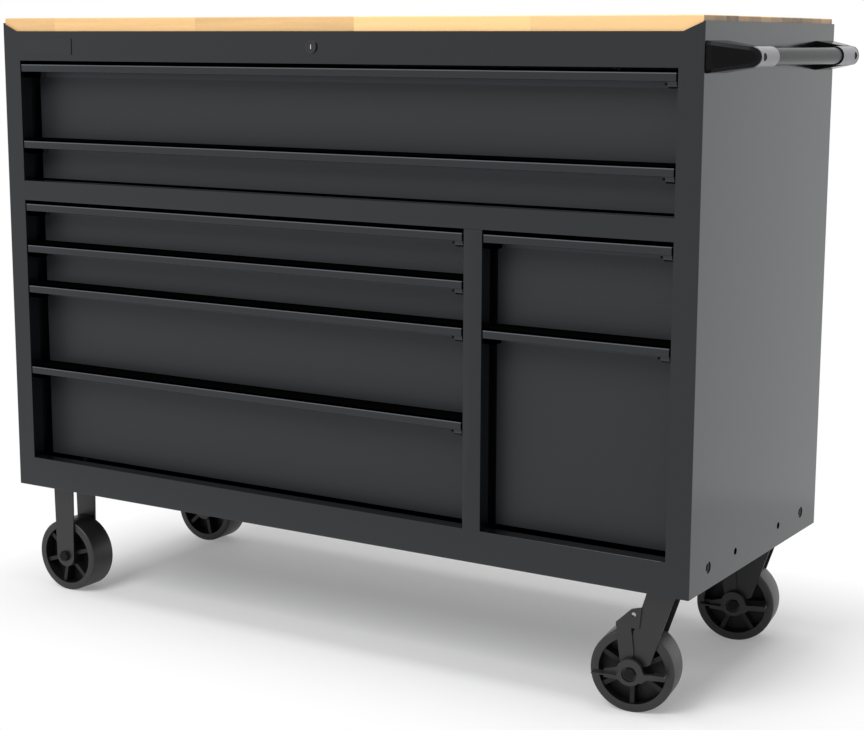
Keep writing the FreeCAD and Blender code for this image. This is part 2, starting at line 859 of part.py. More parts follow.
def axle(with_pedal):
    """The bolt through a fork and its wheel, about y = 0; one with a pedal reaches out through it."""
    outer = leg_inside + leg_sheet
    centre = (0, wheel_radius)
    head = hexagon("y", centre, axle_head_radius, outer, outer + axle_head_height)
    if with_pedal:
        front = -pedal_start - pedal_sheet + 0.2
        shank = rod("y", centre, axle_radius, front + pedal_head_height, outer)
        nut = hexagon("y", centre, axle_head_radius, front, front + pedal_head_height)
    else:
        shank = rod("y", centre, axle_radius, -outer, outer)
        nut = hexagon("y", centre, axle_head_radius, -outer - axle_head_height, -outer)
    return join([head, shank, nut])


def wheel(turn):
    """A moulded wheel about y = 0: plain tread, deep rim, web, and a six-sided hub with spokes on both faces."""
    profile = [
        (0, -web_half),
        (rim_inner_radius, -web_half),
        (rim_inner_radius, -wheel_half_width),
        (wheel_radius, -wheel_half_width),
        (wheel_radius, wheel_half_width),
        (rim_inner_radius, wheel_half_width),
        (rim_inner_radius, web_half),
        (0, web_half),
    ]
    points = [vec(radius, y, 0) for radius, y in profile]
    face = Part.Face(Part.makePolygon(points + [points[0]]))
    pieces = [face.revolve(vec(0, 0, 0), vec(0, 1, 0), 360)]
    pieces.append(hexagon("y", (0, 0), hub_radius, -hub_half_width, hub_half_width))
    half = spoke_width / 2.0
    for step in range(spoke_count):
        spoke = block(hub_radius - 4.0, rim_inner_radius + 1.0, -spoke_half_depth, spoke_half_depth, -half, half)
        spoke.rotate(vec(0, 0, 0), vec(0, 1, 0), -step * 360.0 / spoke_count)
        pieces.append(spoke)
    solid = join(pieces).cut(rod("y", (0, 0), axle_radius + axle_fit, -wheel_half_width - 1, wheel_half_width + 1))
    solid.rotate(vec(0, 0, 0), vec(0, 1, 0), -turn)
    solid.translate(vec(0, 0, wheel_radius))
    return solid


def swivel_plate(y):
    """The fixed half of a swivel caster: plate, upper race and kingpin."""
    centre = (swivel_caster_x, y)
    nut_low = crown_top - crown_sheet - 8.0
    nut_high = crown_top - crown_sheet - 1.0
    race_low = vec(swivel_caster_x, y, plate_bottom - race_height)
    race = Part.makeCone(race_radius - 2.0, race_radius + 2.0, race_height, race_low)
    pin = rod("z", centre, kingpin_radius, nut_high, plate_bottom)
    nut = hexagon("z", centre, kingpin_radius + 4.0, nut_low, nut_high)
    return join([caster_plate(swivel_caster_x, y), race, pin, nut])


def brake_plate():
    """The brake plate outside the front leg, about the swivel axis, with the shoe above the tread."""
    outer = -leg_inside - leg_sheet
    start = outer - brake_sheet
    low = floor_gap
    bracket = [(-27, low - 29), (-43, low - 33), (-66, low - 55), (-66, low - 62), (-30, low - 62)]
    arm = [
        (-66, low - 55), (-43, low - 57), (-38, low - 98), (-40, low - 118),
        (-58, low - 118), (-61, low - 98),
    ]
    plate = join([prism("y", bracket, start, outer), prism("y", arm, start, outer)])
    plate = plate.cut(rod("y", (-39, low - 41), 3.5, start - 1, outer + 1))
    plate = plate.cut(rod("y", (-trail, wheel_radius), axle_radius, start - 1, outer + 1))
    shoe = block(-66, -52, start, leg_inside - 8.0, low - 62, low - 62 + shoe_height)
    return join([plate, shoe])


def swivel_fork():
    """A swivel caster's fork about its own axis: crown, raking legs and brake plate."""
    toe_x, toe_z = swivel_toe
    heel = leg_outline(swivel_leg_back, 0, crown_top, -trail, wheel_radius, swivel_leg_round)
    toe = leg_outline(swivel_leg_back, swivel_leg_front, crown_top, toe_x, toe_z, swivel_toe_round)
    outline = heel.fuse(toe).removeSplitter().Faces[0]
    outer = leg_inside + leg_sheet
    crown = block(swivel_leg_back, swivel_leg_front, -outer, outer, crown_top - crown_sheet, crown_top)
    disc = rod("z", (0, 0), race_radius, crown_top - crown_sheet, crown_top)
    bore = rod("z", (0, 0), kingpin_radius + axle_fit, crown_top - crown_sheet - 1, crown_top + 1)
    legs = pair_of_legs(outline, -trail, wheel_radius)
    return join([crown, disc] + legs + [brake_plate()]).cut(bore)


def brake_pedal():
    """The rocking pedal on the axle's end, about the swivel axis: boss, two wings and their foot pads."""
    back = -pedal_start
    front = back - pedal_sheet
    pieces = [
        prism("y", pedal_wings, front, back),
        rod("y", (0, pedal_boss_rise), pedal_radius, front, back),
    ]
    for x0, x1, low, high in (pedal_left_pad, pedal_right_pad):
        pieces.append(block(x0, x1, front - pedal_pad_depth, back - 1.0, low, high))
    pedal = join(pieces)
    pedal = pedal.cut(rod("y", (0, 0), axle_radius + axle_fit, front - 1, back + 1))
    pedal = pedal.cut(rod("y", (0, 0), pedal_recess_radius, front - 1, front + pedal_recess))
    pedal.translate(vec(-trail, 0, wheel_radius))
    return pedal


def at_swivel(shape, y):
    """Turn a piece of a swivel caster to its rest angle and set it at its kingpin."""
    placed = shape.copy()
    placed.rotate(vec(0, 0, 0), vec(0, 0, 1), rest_swivel_angle)
    placed.translate(vec(swivel_caster_x, y, 0))
    return placed


# Fasteners of the body

def fasteners():
    """Caster bolts, the bolts low in the sides and the screws of the handle."""
    pieces = []
    for place in caster_bolt_places():
        pieces.append(hexagon("z", place, bolt_head_radius, plate_bottom - bolt_head_height, plate_bottom))
    for y in side_bolt_y:
        head = hexagon("x", (y, side_hole_z), side_bolt_head, sheet - 1.2, sheet)
        pieces.append(head)
        pieces.append(mirror_x(head))
    surface = cabinet_width + handle_reach + tube_radius
    for y in (handle_screw_y, cabinet_depth - handle_screw_y):
        pieces.append(hexagon("x", (y, handle_z), handle_screw_head, surface, surface + 1.2))
    return Part.makeCompound(pieces)


def build():
    """Make and write every sub-part."""
    os.makedirs("parts", exist_ok=True)
    left = side_panel()
    export("left_side_panel", left)
    export("right_side_panel", mirror_x(left))
    export("bottom_pan", bottom_pan())
    export("back_panel", back_panel())
    export("top_rail", top_rail())
    export("middle_rail", middle_rail())
    export("bottom_rail", bottom_rail())
    export("center_post", center_post())
    export("divider_panel", divider_panel())
    export("top_deck", top_deck())
    export("worktop", worktop())
    export("name_plate", name_plate())

    mounts = slide_mounts()
    fixed = []
    for name in drawer_table:
        export(name, drawer_box(name))
        export(name + "_pull", drawer_pull(name))
        export(name + "_slides", Part.makeCompound([middle_member(mount) for mount in mounts[name]]))
        fixed += [outer_member(mount) for mount in mounts[name]]
    export("slide_rails", Part.makeCompound(fixed))

    export("lock_barrel", lock_barrel())
    export("lock_plug", lock_plug())
    export("lock_bar", lock_bar())

    bracket = handle_bracket()
    export("front_handle_bracket", bracket)
    export("rear_handle_bracket", mirror_y(bracket))
    sleeve = handle_sleeve()
    export("handle_sleeves", Part.makeCompound([sleeve, mirror_y(sleeve)]))
    export("handle_tube", handle_tube())

    fixed_axles = []
    for place, y, turn in (("front", front_caster_y, 18.0), ("rear", rear_caster_y, 42.0)):
        export("fixed_fork_" + place, fixed_fork(y))
        fixed_wheel = wheel(turn)
        fixed_wheel.translate(vec(fixed_caster_x, y, 0))
        export("fixed_wheel_" + place, fixed_wheel)
        bolt = axle(False)
        bolt.translate(vec(fixed_caster_x, y, 0))
        fixed_axles.append(bolt)
    export("fixed_axles", Part.makeCompound(fixed_axles))

    plates = []
    for place, y, turn in (("front", front_caster_y, 30.0), ("rear", rear_caster_y, 5.0)):
        plates.append(swivel_plate(y))
        export("swivel_fork_" + place, at_swivel(swivel_fork(), y))
        swivel_wheel = wheel(turn)
        swivel_wheel.translate(vec(-trail, 0, 0))
        export("swivel_wheel_" + place, at_swivel(swivel_wheel, y))
        bolt = axle(True)
        bolt.translate(vec(-trail, 0, 0))
        export("swivel_axle_" + place, at_swivel(bolt, y))
        export("brake_pedal_" + place, at_swivel(brake_pedal(), y))
    export("swivel_plates", Part.makeCompound(plates))
    export("cabinet_fasteners", fasteners())


build()
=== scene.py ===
import json
import math

import bpy
from mathutils import Matrix, Vector

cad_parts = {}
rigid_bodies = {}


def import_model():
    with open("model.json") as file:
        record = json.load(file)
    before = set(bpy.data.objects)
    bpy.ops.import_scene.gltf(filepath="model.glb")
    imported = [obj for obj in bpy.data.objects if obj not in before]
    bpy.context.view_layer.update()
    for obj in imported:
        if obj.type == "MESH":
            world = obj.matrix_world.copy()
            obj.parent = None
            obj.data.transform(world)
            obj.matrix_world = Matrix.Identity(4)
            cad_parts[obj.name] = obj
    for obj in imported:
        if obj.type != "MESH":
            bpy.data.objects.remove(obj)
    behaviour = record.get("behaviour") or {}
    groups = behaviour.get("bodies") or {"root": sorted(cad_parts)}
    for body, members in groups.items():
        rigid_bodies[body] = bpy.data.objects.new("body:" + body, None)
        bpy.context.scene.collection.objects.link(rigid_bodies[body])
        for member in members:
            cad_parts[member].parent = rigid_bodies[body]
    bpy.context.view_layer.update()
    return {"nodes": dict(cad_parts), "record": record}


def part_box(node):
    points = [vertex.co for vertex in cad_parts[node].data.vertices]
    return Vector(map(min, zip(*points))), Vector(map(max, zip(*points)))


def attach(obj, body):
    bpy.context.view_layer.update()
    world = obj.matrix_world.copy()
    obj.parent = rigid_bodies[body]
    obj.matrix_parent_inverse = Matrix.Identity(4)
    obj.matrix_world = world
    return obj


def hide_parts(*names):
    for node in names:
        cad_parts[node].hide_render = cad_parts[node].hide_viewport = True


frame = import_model()
NODES = frame["nodes"]

bl_info = {
    "name": "Rolling tool cabinet",
    "version": (1, 0, 0),
    "blender": (4, 5, 0),
    "location": "View3D > Sidebar > Cabinet",
    "description": "Finishes, small parts and studio for a rolling tool cabinet",
    "category": "Object",
}

# Names of the CAD nodes that are dressed in a way of their own
DRAWERS = (
    "upper_tall_drawer", "upper_shallow_drawer",
    "left_drawer_1", "left_drawer_2", "left_drawer_3", "left_drawer_4",
    "right_drawer_1", "right_drawer_2",
)
SHALLOW_DRAWERS = ("upper_shallow_drawer", "left_drawer_1", "left_drawer_2")
WHEELS = ("fixed_wheel_front", "fixed_wheel_rear", "swivel_wheel_front", "swivel_wheel_rear")
FRAME_BARS = ("top_rail", "middle_rail", "bottom_rail", "center_post")

# All sizes are in metres, and angles in degrees unless a line turns them into radians.
# Wheels: how far the swivel casters stand off straight, the tread, its longest facet, and how far from the
# middle the painted shade inside the rim reaches
SWIVEL_REST = 10.0
TREAD_RADIUS = 0.065
TREAD_STEP = 0.006
RIM_REACH = 0.0577

# Drawer pulls: the strip's height, an end cap's width, and how far behind the strip's front the leg starts
PULL_STRIP = 0.0151
CAP_WIDTH = 0.0141
LEG_START = 0.032

# Black tab beside a pull's right end cap, whose black paints the shade at the cap's corner; measured from
# the pull's right, top and front
TAB_PLACE = 0.0175
TAB_DROP = 0.0185
TAB_DEPTH = 0.005
TAB_RADIUS = 0.0017
TAB_LENGTH = 0.004

# Shutter of the keyway: its size, and its middle behind the plug's face
SHUTTER_SIZE = (0.0017, 0.0020, 0.0074)
SHUTTER_DEPTH = 0.0012

# Push handle: sleeve, tube, and the black rings of painted shade round the screws and at the sleeves'
# inner ends
SLEEVE_LENGTH = 0.066
GRIP_TUBE_RADIUS = 0.0125
GRIP_SCREW_PLACE = 0.012
SCREW_RING_OUTER = 0.0056
SCREW_RING_INNER = 0.0039
SCREW_RING_PROUD = 0.00015
SCREW_RING_SUNK = 0.0003
END_RING_WIDTH = 0.0012
END_RING_GAP = 0.0001
RING_BLANK = 0.03
CUTTER_SPARE = 0.01

# Rows of balls: their middle from the slide's side, their start from its ends, and their gap to the channel
BALL_INSET = 0.0028
BALL_MARGIN = 0.03
BALL_GAP = 0.0001

# Screws of the rear panel: margins at the panel's sides and ends, count on a side, and the heads.
# The recess is two blades, given as shares of the head's radius, radius and height.
SCREW_SIDE_MARGIN = 0.009
SCREW_END_MARGIN = 0.06
SCREWS_ON_SIDE = 5
SCREW_GAP = 0.0002
SCREW_HEIGHT = 0.0022
SCREW_PROUD_SHARE = 0.3
SCREW_ROUND_SHARE = 0.35
SCREW_RECESS = (1.1, 0.26, 0.9)

# Limits of the tests that choose what to round
SAME_PLACE = 0.0001
SAME_CIRCLE = 0.0002
LONG_SHARE = 0.8
FACING_UP = 0.9

# Rounding of the smallest pieces, the reach within which corners are joined, and the angles in degrees
# up to which a rounded CAD piece and a screw are shaded smooth
SMALL_ROUND = 0.0004
MERGE_REACH = 0.00001
PIECE_SMOOTH = 30
SCREW_SMOOTH = 35

# Turns that lay the axis of a round blank along X or Y, or face a screw to the rear
ALONG_X = (0.0, math.radians(90), 0.0)
ALONG_Y = (math.radians(90), 0.0, 0.0)
FACING_REAR = (math.radians(-90), 0.0, 0.0)

# The coat's reflections are a little cool, and the shallow drawers are painted lighter to offset their shade
COAT_TINT = (0.88, 0.95, 1.0, 1.0)
SHALLOW_PAINTED_LIGHT = 1.55

# Where the tones of a pull's coat change: depths below its top edge, where the painted shadow of the gap ends
# and the painted highlight line starts and ends, distances behind its front, and the width of a sharp and
# of a soft change
PULL_SHADOW_END = (0.0024, 0.0028)
PULL_HIGHLIGHT_START = (0.0026, 0.0029)
PULL_HIGHLIGHT_END = (0.0038, 0.0044)
PULL_COVER_START = (0.004, 0.006)
SHARP_CHANGE = 0.0002
SOFT_CHANGE = 0.001

# Tones of a pull's coat beside its plain colour, roughness and specular level: the painted highlight line,
# the leg, satin like the drawer's face and painted lighter against the strip's shade, and the near black
# cover
PULL_PAINTED_HIGHLIGHT = 20.0
PULL_LEG_PAINTED_LIGHT = 8.5
PULL_LEG_ROUGH = 0.24
PULL_LEG_SPECULAR = -0.2
PULL_COVER_LIGHT = 0.4
PULL_COVER_ROUGH = 0.3
PLAIN_SPECULAR = 0.5

# Painted shade: how dark the inside of a wheel's rim is painted against its tread
RIM_INSIDE_PAINTED_SHADE = 0.55

# Worktop: the staves, the numbers that scatter them, and their seams in shares of a stave from its middle
STAVE_WIDTH = 0.042
STAVE_LENGTH = 0.31
ROW_SHIFT = 9.352
ROW_STEP = 15.72
SEAM_BETWEEN_ROWS = (0.484, 0.498)
SEAM_IN_ROW = (0.4986, 0.4998)

# Worktop: grain and pores, their scales along each axis, and how far a stave's tone shifts them
FIGURE_SCALE = (3.0, 90.0, 90.0)
PORE_SCALE = (40.0, 900.0, 900.0)
FIGURE_SHIFT_X = 9.0
FIGURE_SHIFT_Z = 31.0
PORE_LIMITS = (0.58, 0.72)
END_FACE_LIMITS = (0.6, 0.9)

# Worktop: tones. The last two are limits of the figure and the two values that they are laid on.
TONE_LOWEST = 0.83
TONE_SWING = 0.32
END_TONE_SWING = 0.16
PORE_DARKNESS = 0.10
SEAM_DARKNESS = 0.30
END_DARKNESS = 0.66
LACQUER_ROUGH = 0.34
PORE_ROUGH = 0.18
SEAM_DEPTH = 1.5
WARM_WOOD = (0.72, 0.42, 0.19, 1.0)
FIGURE_STREAK = (0.35, 0.7, -0.09, 0.08)
FIGURE_WARMTH = (0.4, 0.75, 0.0, 0.35)

# Sockets of Blender's mix node, whose colour sockets share their names
MIX_FACTOR = 0
MIX_FIRST = 6
MIX_SECOND = 7
MIX_RESULT = 2

# Where the photograph was taken from
CAMERA_PLACE = (1.64017, -2.57563, 0.99038)
CAMERA_YAW = 31.905
CAMERA_PITCH = 10.155
CAMERA_ROLL = 0.172

# The camera's lens and sensor, in millimetres
CAMERA_LENS = 75.36
CAMERA_SENSOR = 36.0

# Lamps: each one's place, the point that it faces, and its width and height
MAIN_LAMP = ((-0.35, -2.8, 2.9), (0.0, 0.0, 0.5), (1.8, 1.8))
SIDE_LAMP = ((1.05, 1.08, 0.62), (0.63, 0.0, 0.62), (1.0, 1.24))
TOP_LAMP = ((0.7, 0.0, 3.2), (0.2, 0.0, 0.6), (2.0, 1.6))

# Floor: its white light is weak over a rectangle below the cabinet, and full some way outside it
SHADE_MIDDLE = (0.03, 0.06)
SHADE_HALF = (0.61, 0.26)
SHADE_FADE = 0.28
SHADE_LIGHT = 0.22
FLOOR_COLOUR = (0.97, 0.97, 0.97, 1.0)
FLOOR_ROUGH = 0.7
FLOOR_SPECULAR = 0.2

# Strength of the white surround as a lamp; what the camera sees of it is full white
WORLD_LAMP = 0.45


# Properties

class CabinetFinishes(bpy.types.PropertyGroup):
    """Colours and gloss of the cabinet"""
    body_colour: bpy.props.FloatVectorProperty(
        name="Body paint", description="Colour of the powder coat on the body and the pulls",
        subtype="COLOR", size=3, min=0.0, max=1.0, default=(0.0038, 0.0042, 0.0050))
    body_gloss: bpy.props.FloatProperty(
        name="Paint roughness", description="How matt the powder coat is",
        subtype="FACTOR", min=0.0, max=1.0, default=0.16)
    face_colour: bpy.props.FloatVectorProperty(
        name="Drawer paint", description="Colour of the satin coat on the drawers",
        subtype="COLOR", size=3, min=0.0, max=1.0, default=(0.020, 0.0215, 0.0235))
    face_gloss: bpy.props.FloatProperty(
        name="Drawer roughness", description="How matt the coat of the drawers is",
        subtype="FACTOR", min=0.0, max=1.0, default=0.4)
    wood_colour: bpy.props.FloatVectorProperty(
        name="Worktop wood", description="Colour of the lacquered hardwood",
        subtype="COLOR", size=3, min=0.0, max=1.0, default=(0.88, 0.56, 0.26))
    caster_colour: bpy.props.FloatVectorProperty(
        name="Caster steel", description="Colour of the forks' coating",
        subtype="COLOR", size=3, min=0.0, max=1.0, default=(0.009, 0.009, 0.0095))
    wheel_colour: bpy.props.FloatVectorProperty(
        name="Wheels", description="Colour of the moulded wheels and pedals",
        subtype="COLOR", size=3, min=0.0, max=1.0, default=(0.012, 0.012, 0.0125))
    grip_colour: bpy.props.FloatVectorProperty(
        name="Grip tube", description="Colour of the tube of the push handle",
        subtype="COLOR", size=3, min=0.0, max=1.0, default=(0.016, 0.018, 0.019))
    sleeve_colour: bpy.props.FloatVectorProperty(
        name="Grip sleeves", description="Colour of the sleeves at the grip's ends",
        subtype="COLOR", size=3, min=0.0, max=1.0, default=(0.24, 0.235, 0.25))


class CabinetSizes(bpy.types.PropertyGroup):
    """Sizes of the small parts"""
    ball_radius: bpy.props.FloatProperty(
        name="Ball radius", description="Radius of a slide's bearing balls",
        subtype="DISTANCE", unit="LENGTH", min=0.0005, max=0.003, default=0.0012)
    ball_count: bpy.props.IntProperty(
        name="Balls in a row", description="How many balls one cage holds in each row",
        min=4, max=30, default=12)
    tread_round: bpy.props.FloatProperty(
        name="Tread rounding", description="Radius of the edges of a wheel's tread",
        subtype="DISTANCE", unit="LENGTH", min=0.0005, max=0.006, default=0.003)
    sheet_round: bpy.props.FloatProperty(
        name="Sheet rounding", description="Radius of the front frame's long edges",
        subtype="DISTANCE", unit="LENGTH", min=0.0001, max=0.0012, default=0.0011)
    screw_radius: bpy.props.FloatProperty(
        name="Screw radius", description="Radius of a panel screw's head",
        subtype="DISTANCE", unit="LENGTH", min=0.002, max=0.008, default=0.0042)


class CabinetStudio(bpy.types.PropertyGroup):
    """Light and floor round the cabinet"""
    key_power: bpy.props.FloatProperty(
        name="Main light", description="Power of the large soft light at the front left",
        subtype="POWER", unit="POWER", min=0.0, max=2000.0, default=75.0)
    side_power: bpy.props.FloatProperty(
        name="Side light", description="Power of the light at the rear right, which only reflections show",
        subtype="POWER", unit="POWER", min=0.0, max=2000.0, default=0.7)
    fill_power: bpy.props.FloatProperty(
        name="Top light", description="Power of the soft light overhead",
        subtype="POWER", unit="POWER", min=0.0, max=2000.0, default=45.0)
    floor_size: bpy.props.FloatProperty(
        name="Floor size", description="Width of the studio floor",
        subtype="DISTANCE", unit="LENGTH", min=5.0, max=200.0, default=60.0)


# Node trees, whose values are sockets unless a docstring says number

def floats(*labels):
    """Number sockets with these names, for a group's inputs or outputs."""
    return tuple((label, "NodeSocketFloat") for label in labels)


def new_group(name, inputs, outputs):
    """An empty shader group with named sockets: (name, kind) pairs."""
    tree = bpy.data.node_groups.new(name, "ShaderNodeTree")
    for label, kind in inputs:
        tree.interface.new_socket(name=label, in_out="INPUT", socket_type=kind)
    for label, kind in outputs:
        tree.interface.new_socket(name=label, in_out="OUTPUT", socket_type=kind)
    return tree, tree.nodes.new("NodeGroupInput"), tree.nodes.new("NodeGroupOutput")


def nested_group(tree, group, start):
    """A group used inside another one, fed with the outer group's inputs of the same names."""
    node = tree.nodes.new("ShaderNodeGroup")
    node.node_tree = group
    for socket in node.inputs:
        tree.links.new(start.outputs[socket.name], socket)
    return node.outputs


def maths(tree, kind, first, second=None, clamp=False):
    """A math node; each value is a socket or a number."""
    node = tree.nodes.new("ShaderNodeMath")
    node.operation = kind
    node.use_clamp = clamp
    for slot, value in enumerate((first, second)):
        if isinstance(value, (int, float)):
            node.inputs[slot].default_value = value
        elif value is not None:
            tree.links.new(value, node.inputs[slot])
    return node.outputs[0]


def add(tree, first, second):
    """The sum of two sockets or numbers."""
    return maths(tree, "ADD", first, second)


def subtract(tree, first, second):
    """One socket or number less another."""
    return maths(tree, "SUBTRACT", first, second)


def multiply(tree, first, second):
    """The product of two sockets or numbers."""
    return maths(tree, "MULTIPLY", first, second)


def higher(tree, first, second):
    """The higher one of two sockets or numbers."""
    return maths(tree, "MAXIMUM", first, second)


def spread(tree, value, low, high, low_out, high_out):
    """A value's range, given by two numbers, laid on another one and held to its ends."""
    node = tree.nodes.new("ShaderNodeMapRange")
    tree.links.new(value, node.inputs["Value"])
    for label, number in (("From Min", low), ("From Max", high), ("To Min", low_out), ("To Max", high_out)):
        node.inputs[label].default_value = number
    return node.outputs["Result"]


def rise(tree, value, low, high):
    """0 up to a low number, 1 from a high one on, and a straight slope between them."""
    return spread(tree, value, low, high, 0.0, 1.0)


def fall(tree, value, low, high):
    """1 up to a low number, 0 from a high one on, and a straight slope between them."""
    return spread(tree, value, low, high, 1.0, 0.0)


def vector_maths(tree, kind, *values):
    """The outputs of a vector math node."""
    node = tree.nodes.new("ShaderNodeVectorMath")
    node.operation = kind
    for socket, value in zip(node.inputs, values):
        tree.links.new(value, socket)
    return node.outputs


def shade(tree, colour, factor):
    """A colour made lighter or darker by a factor."""
    node = tree.nodes.new("ShaderNodeVectorMath")
    node.operation = "SCALE"
    tree.links.new(colour, node.inputs[0])
    tree.links.new(factor, node.inputs["Scale"])
    return node.outputs["Vector"]


def towards(tree, factor, colour, other):
    """A colour that a factor turns into another, fixed one."""
    node = tree.nodes.new("ShaderNodeMix")
    node.data_type = "RGBA"
    tree.links.new(factor, node.inputs[MIX_FACTOR])
    tree.links.new(colour, node.inputs[MIX_FIRST])
    node.inputs[MIX_SECOND].default_value = other
    return node.outputs[MIX_RESULT]


def object_place(tree):
    """Object coordinates. At rest every object sits at the origin, so they are the frame's own."""
    return tree.nodes.new("ShaderNodeTexCoord").outputs["Object"]


def split(tree, vector):
    """The X, Y and Z of a vector, by those names."""
    node = tree.nodes.new("ShaderNodeSeparateXYZ")
    tree.links.new(vector, node.inputs[0])
    return node.outputs


def noise(tree, vector, scale, detail):
    """A noise texture, with a number of scale for each axis."""
    mapping = tree.nodes.new("ShaderNodeMapping")
    mapping.inputs["Scale"].default_value = scale
    tree.links.new(vector, mapping.inputs["Vector"])
    node = tree.nodes.new("ShaderNodeTexNoise")
    node.inputs["Scale"].default_value = 1.0
    node.inputs["Detail"].default_value = detail
    tree.links.new(mapping.outputs["Vector"], node.inputs["Vector"])
    return node.outputs[0]


def scatter(tree, value):
    """A number from 0 to 1 that looks random, and is always the same for the same value."""
    node = tree.nodes.new("ShaderNodeTexWhiteNoise")
    node.noise_dimensions = "1D"
    tree.links.new(value, node.inputs["W"])
    return node.outputs["Value"]


def seen_directly(tree):
    """1 for what the camera sees, also in a mirror or through glass, and 0 for light cast on a surface."""
    path = tree.nodes.new("ShaderNodeLightPath")
    mirrored = higher(tree, path.outputs["Is Camera Ray"], path.outputs["Is Glossy Ray"])
    return higher(tree, mirrored, path.outputs["Is Transmission Ray"])


# Shader groups

COLOUR = (("Color", "NodeSocketColor"),)
GRAIN_INPUTS = COLOUR + floats("Contrast", "Roughness", "Roughness spread")
GRAIN_OUTPUTS = COLOUR + floats("Roughness", "Height")


def grain_group(name, grain, clouds, fleck):
    """Fine grain over slow clouds, as on powder coat and moulded plastic; fleck is the grain's share."""
    tree, start, end = new_group(name, GRAIN_INPUTS, GRAIN_OUTPUTS)
    place = object_place(tree)
    fine = noise(tree, place, grain, detail=2.0)
    cloud = noise(tree, place, clouds, detail=4.0)
    both = add(tree, multiply(tree, fine, fleck), multiply(tree, cloud, 1.0 - fleck))
    centred = subtract(tree, both, 0.5)
    factor = add(tree, multiply(tree, centred, start.outputs["Contrast"]), 1.0)
    tree.links.new(shade(tree, start.outputs["Color"], factor), end.inputs["Color"])
    swing = multiply(tree, centred, start.outputs["Roughness spread"])
    rough = maths(tree, "ADD", start.outputs["Roughness"], swing, clamp=True)
    tree.links.new(rough, end.inputs["Roughness"])
    tree.links.new(fine, end.inputs["Height"])
    return tree


def pull_group(coat):
    """Powder coat of a drawer pull.

    Its upper edge is painted black as the gap's shadow, over a thin painted highlight line. Its cover is near
    black, the foot of its left end cap is painted black as shade, and the leg before the drawer's face is
    satin as the face is and painted lighter against the shade under the strip.
    """
    tree, start, end = new_group(
        "Pull coat", GRAIN_INPUTS + floats("Top", "Left", "Front"), GRAIN_OUTPUTS + floats("Specular"))
    base = nested_group(tree, coat, start)
    place = split(tree, object_place(tree))
    depth = subtract(tree, start.outputs["Top"], place["Z"])
    across = subtract(tree, place["X"], start.outputs["Left"])
    inward = subtract(tree, place["Y"], start.outputs["Front"])

    # Painted shadow: the strip's top edge is painted black where the gap above is in shade; the mask also
    # takes in the cover
    shadow = fall(tree, depth, *PULL_SHADOW_END)
    # Painted highlight: a thin bright line painted just below that shadow
    painted_highlight = multiply(tree, rise(tree, depth, *PULL_HIGHLIGHT_START), fall(tree, depth, *PULL_HIGHLIGHT_END))
    below = rise(tree, depth, PULL_STRIP, PULL_STRIP + SHARP_CHANGE)
    # Painted shade: the foot of the left end cap, below the strip, is painted black
    shaded_foot = multiply(tree, below, fall(tree, across, CAP_WIDTH, CAP_WIDTH + SHARP_CHANGE))
    shaded_foot = multiply(tree, shaded_foot, fall(tree, inward, LEG_START, LEG_START + SOFT_CHANGE))
    plain = subtract(tree, 1.0, higher(tree, shadow, shaded_foot))
    # The leg behind the strip is satin like the face, and painted lighter against the shade under the strip
    leg = multiply(tree, plain, rise(tree, inward, LEG_START, LEG_START + SOFT_CHANGE))
    leg = multiply(tree, leg, below)
    cover = multiply(tree, shadow, rise(tree, inward, *PULL_COVER_START))

    factor = add(tree, plain, multiply(tree, painted_highlight, PULL_PAINTED_HIGHLIGHT))
    factor = add(tree, factor, multiply(tree, leg, PULL_LEG_PAINTED_LIGHT))
    factor = add(tree, factor, multiply(tree, cover, PULL_COVER_LIGHT))
    tree.links.new(shade(tree, base["Color"], factor), end.inputs["Color"])
    satin = add(tree, multiply(tree, leg, PULL_LEG_ROUGH), multiply(tree, cover, PULL_COVER_ROUGH))
    tree.links.new(add(tree, base["Roughness"], satin), end.inputs["Roughness"])
    tree.links.new(base["Height"], end.inputs["Height"])
    specular = add(tree, multiply(tree, plain, PLAIN_SPECULAR), multiply(tree, leg, PULL_LEG_SPECULAR))
    tree.links.new(specular, end.inputs["Specular"])
    return tree


def wheel_group(moulded):
    """Moulded plastic with painted shade, darker and duller, on the web, spokes and hub inside a wheel's rim.
    """
    tree, start, end = new_group(
        "Wheel plastic", GRAIN_INPUTS + (("Centre", "NodeSocketVector"),), GRAIN_OUTPUTS + floats("Specular"))
    base = nested_group(tree, moulded, start)
    away = vector_maths(tree, "DISTANCE", object_place(tree), start.outputs["Centre"])["Value"]
    # Painted shade: the web, spokes, hub and inside of the rim are painted darker and made less reflective
    rim_shade = spread(tree, away, RIM_REACH - SOFT_CHANGE, RIM_REACH, RIM_INSIDE_PAINTED_SHADE, 1.0)
    tree.links.new(shade(tree, base["Color"], rim_shade), end.inputs["Color"])
    tree.links.new(base["Roughness"], end.inputs["Roughness"])
    tree.links.new(base["Height"], end.inputs["Height"])
    tree.links.new(multiply(tree, rim_shade, PLAIN_SPECULAR), end.inputs["Specular"])
    return tree


def seam_mask(tree, count, limits):
    """1 at the seams of staves that are counted along one axis."""
    from_middle = maths(tree, "ABSOLUTE", subtract(tree, maths(tree, "FRACT", count), 0.5))
    return rise(tree, from_middle, *limits)


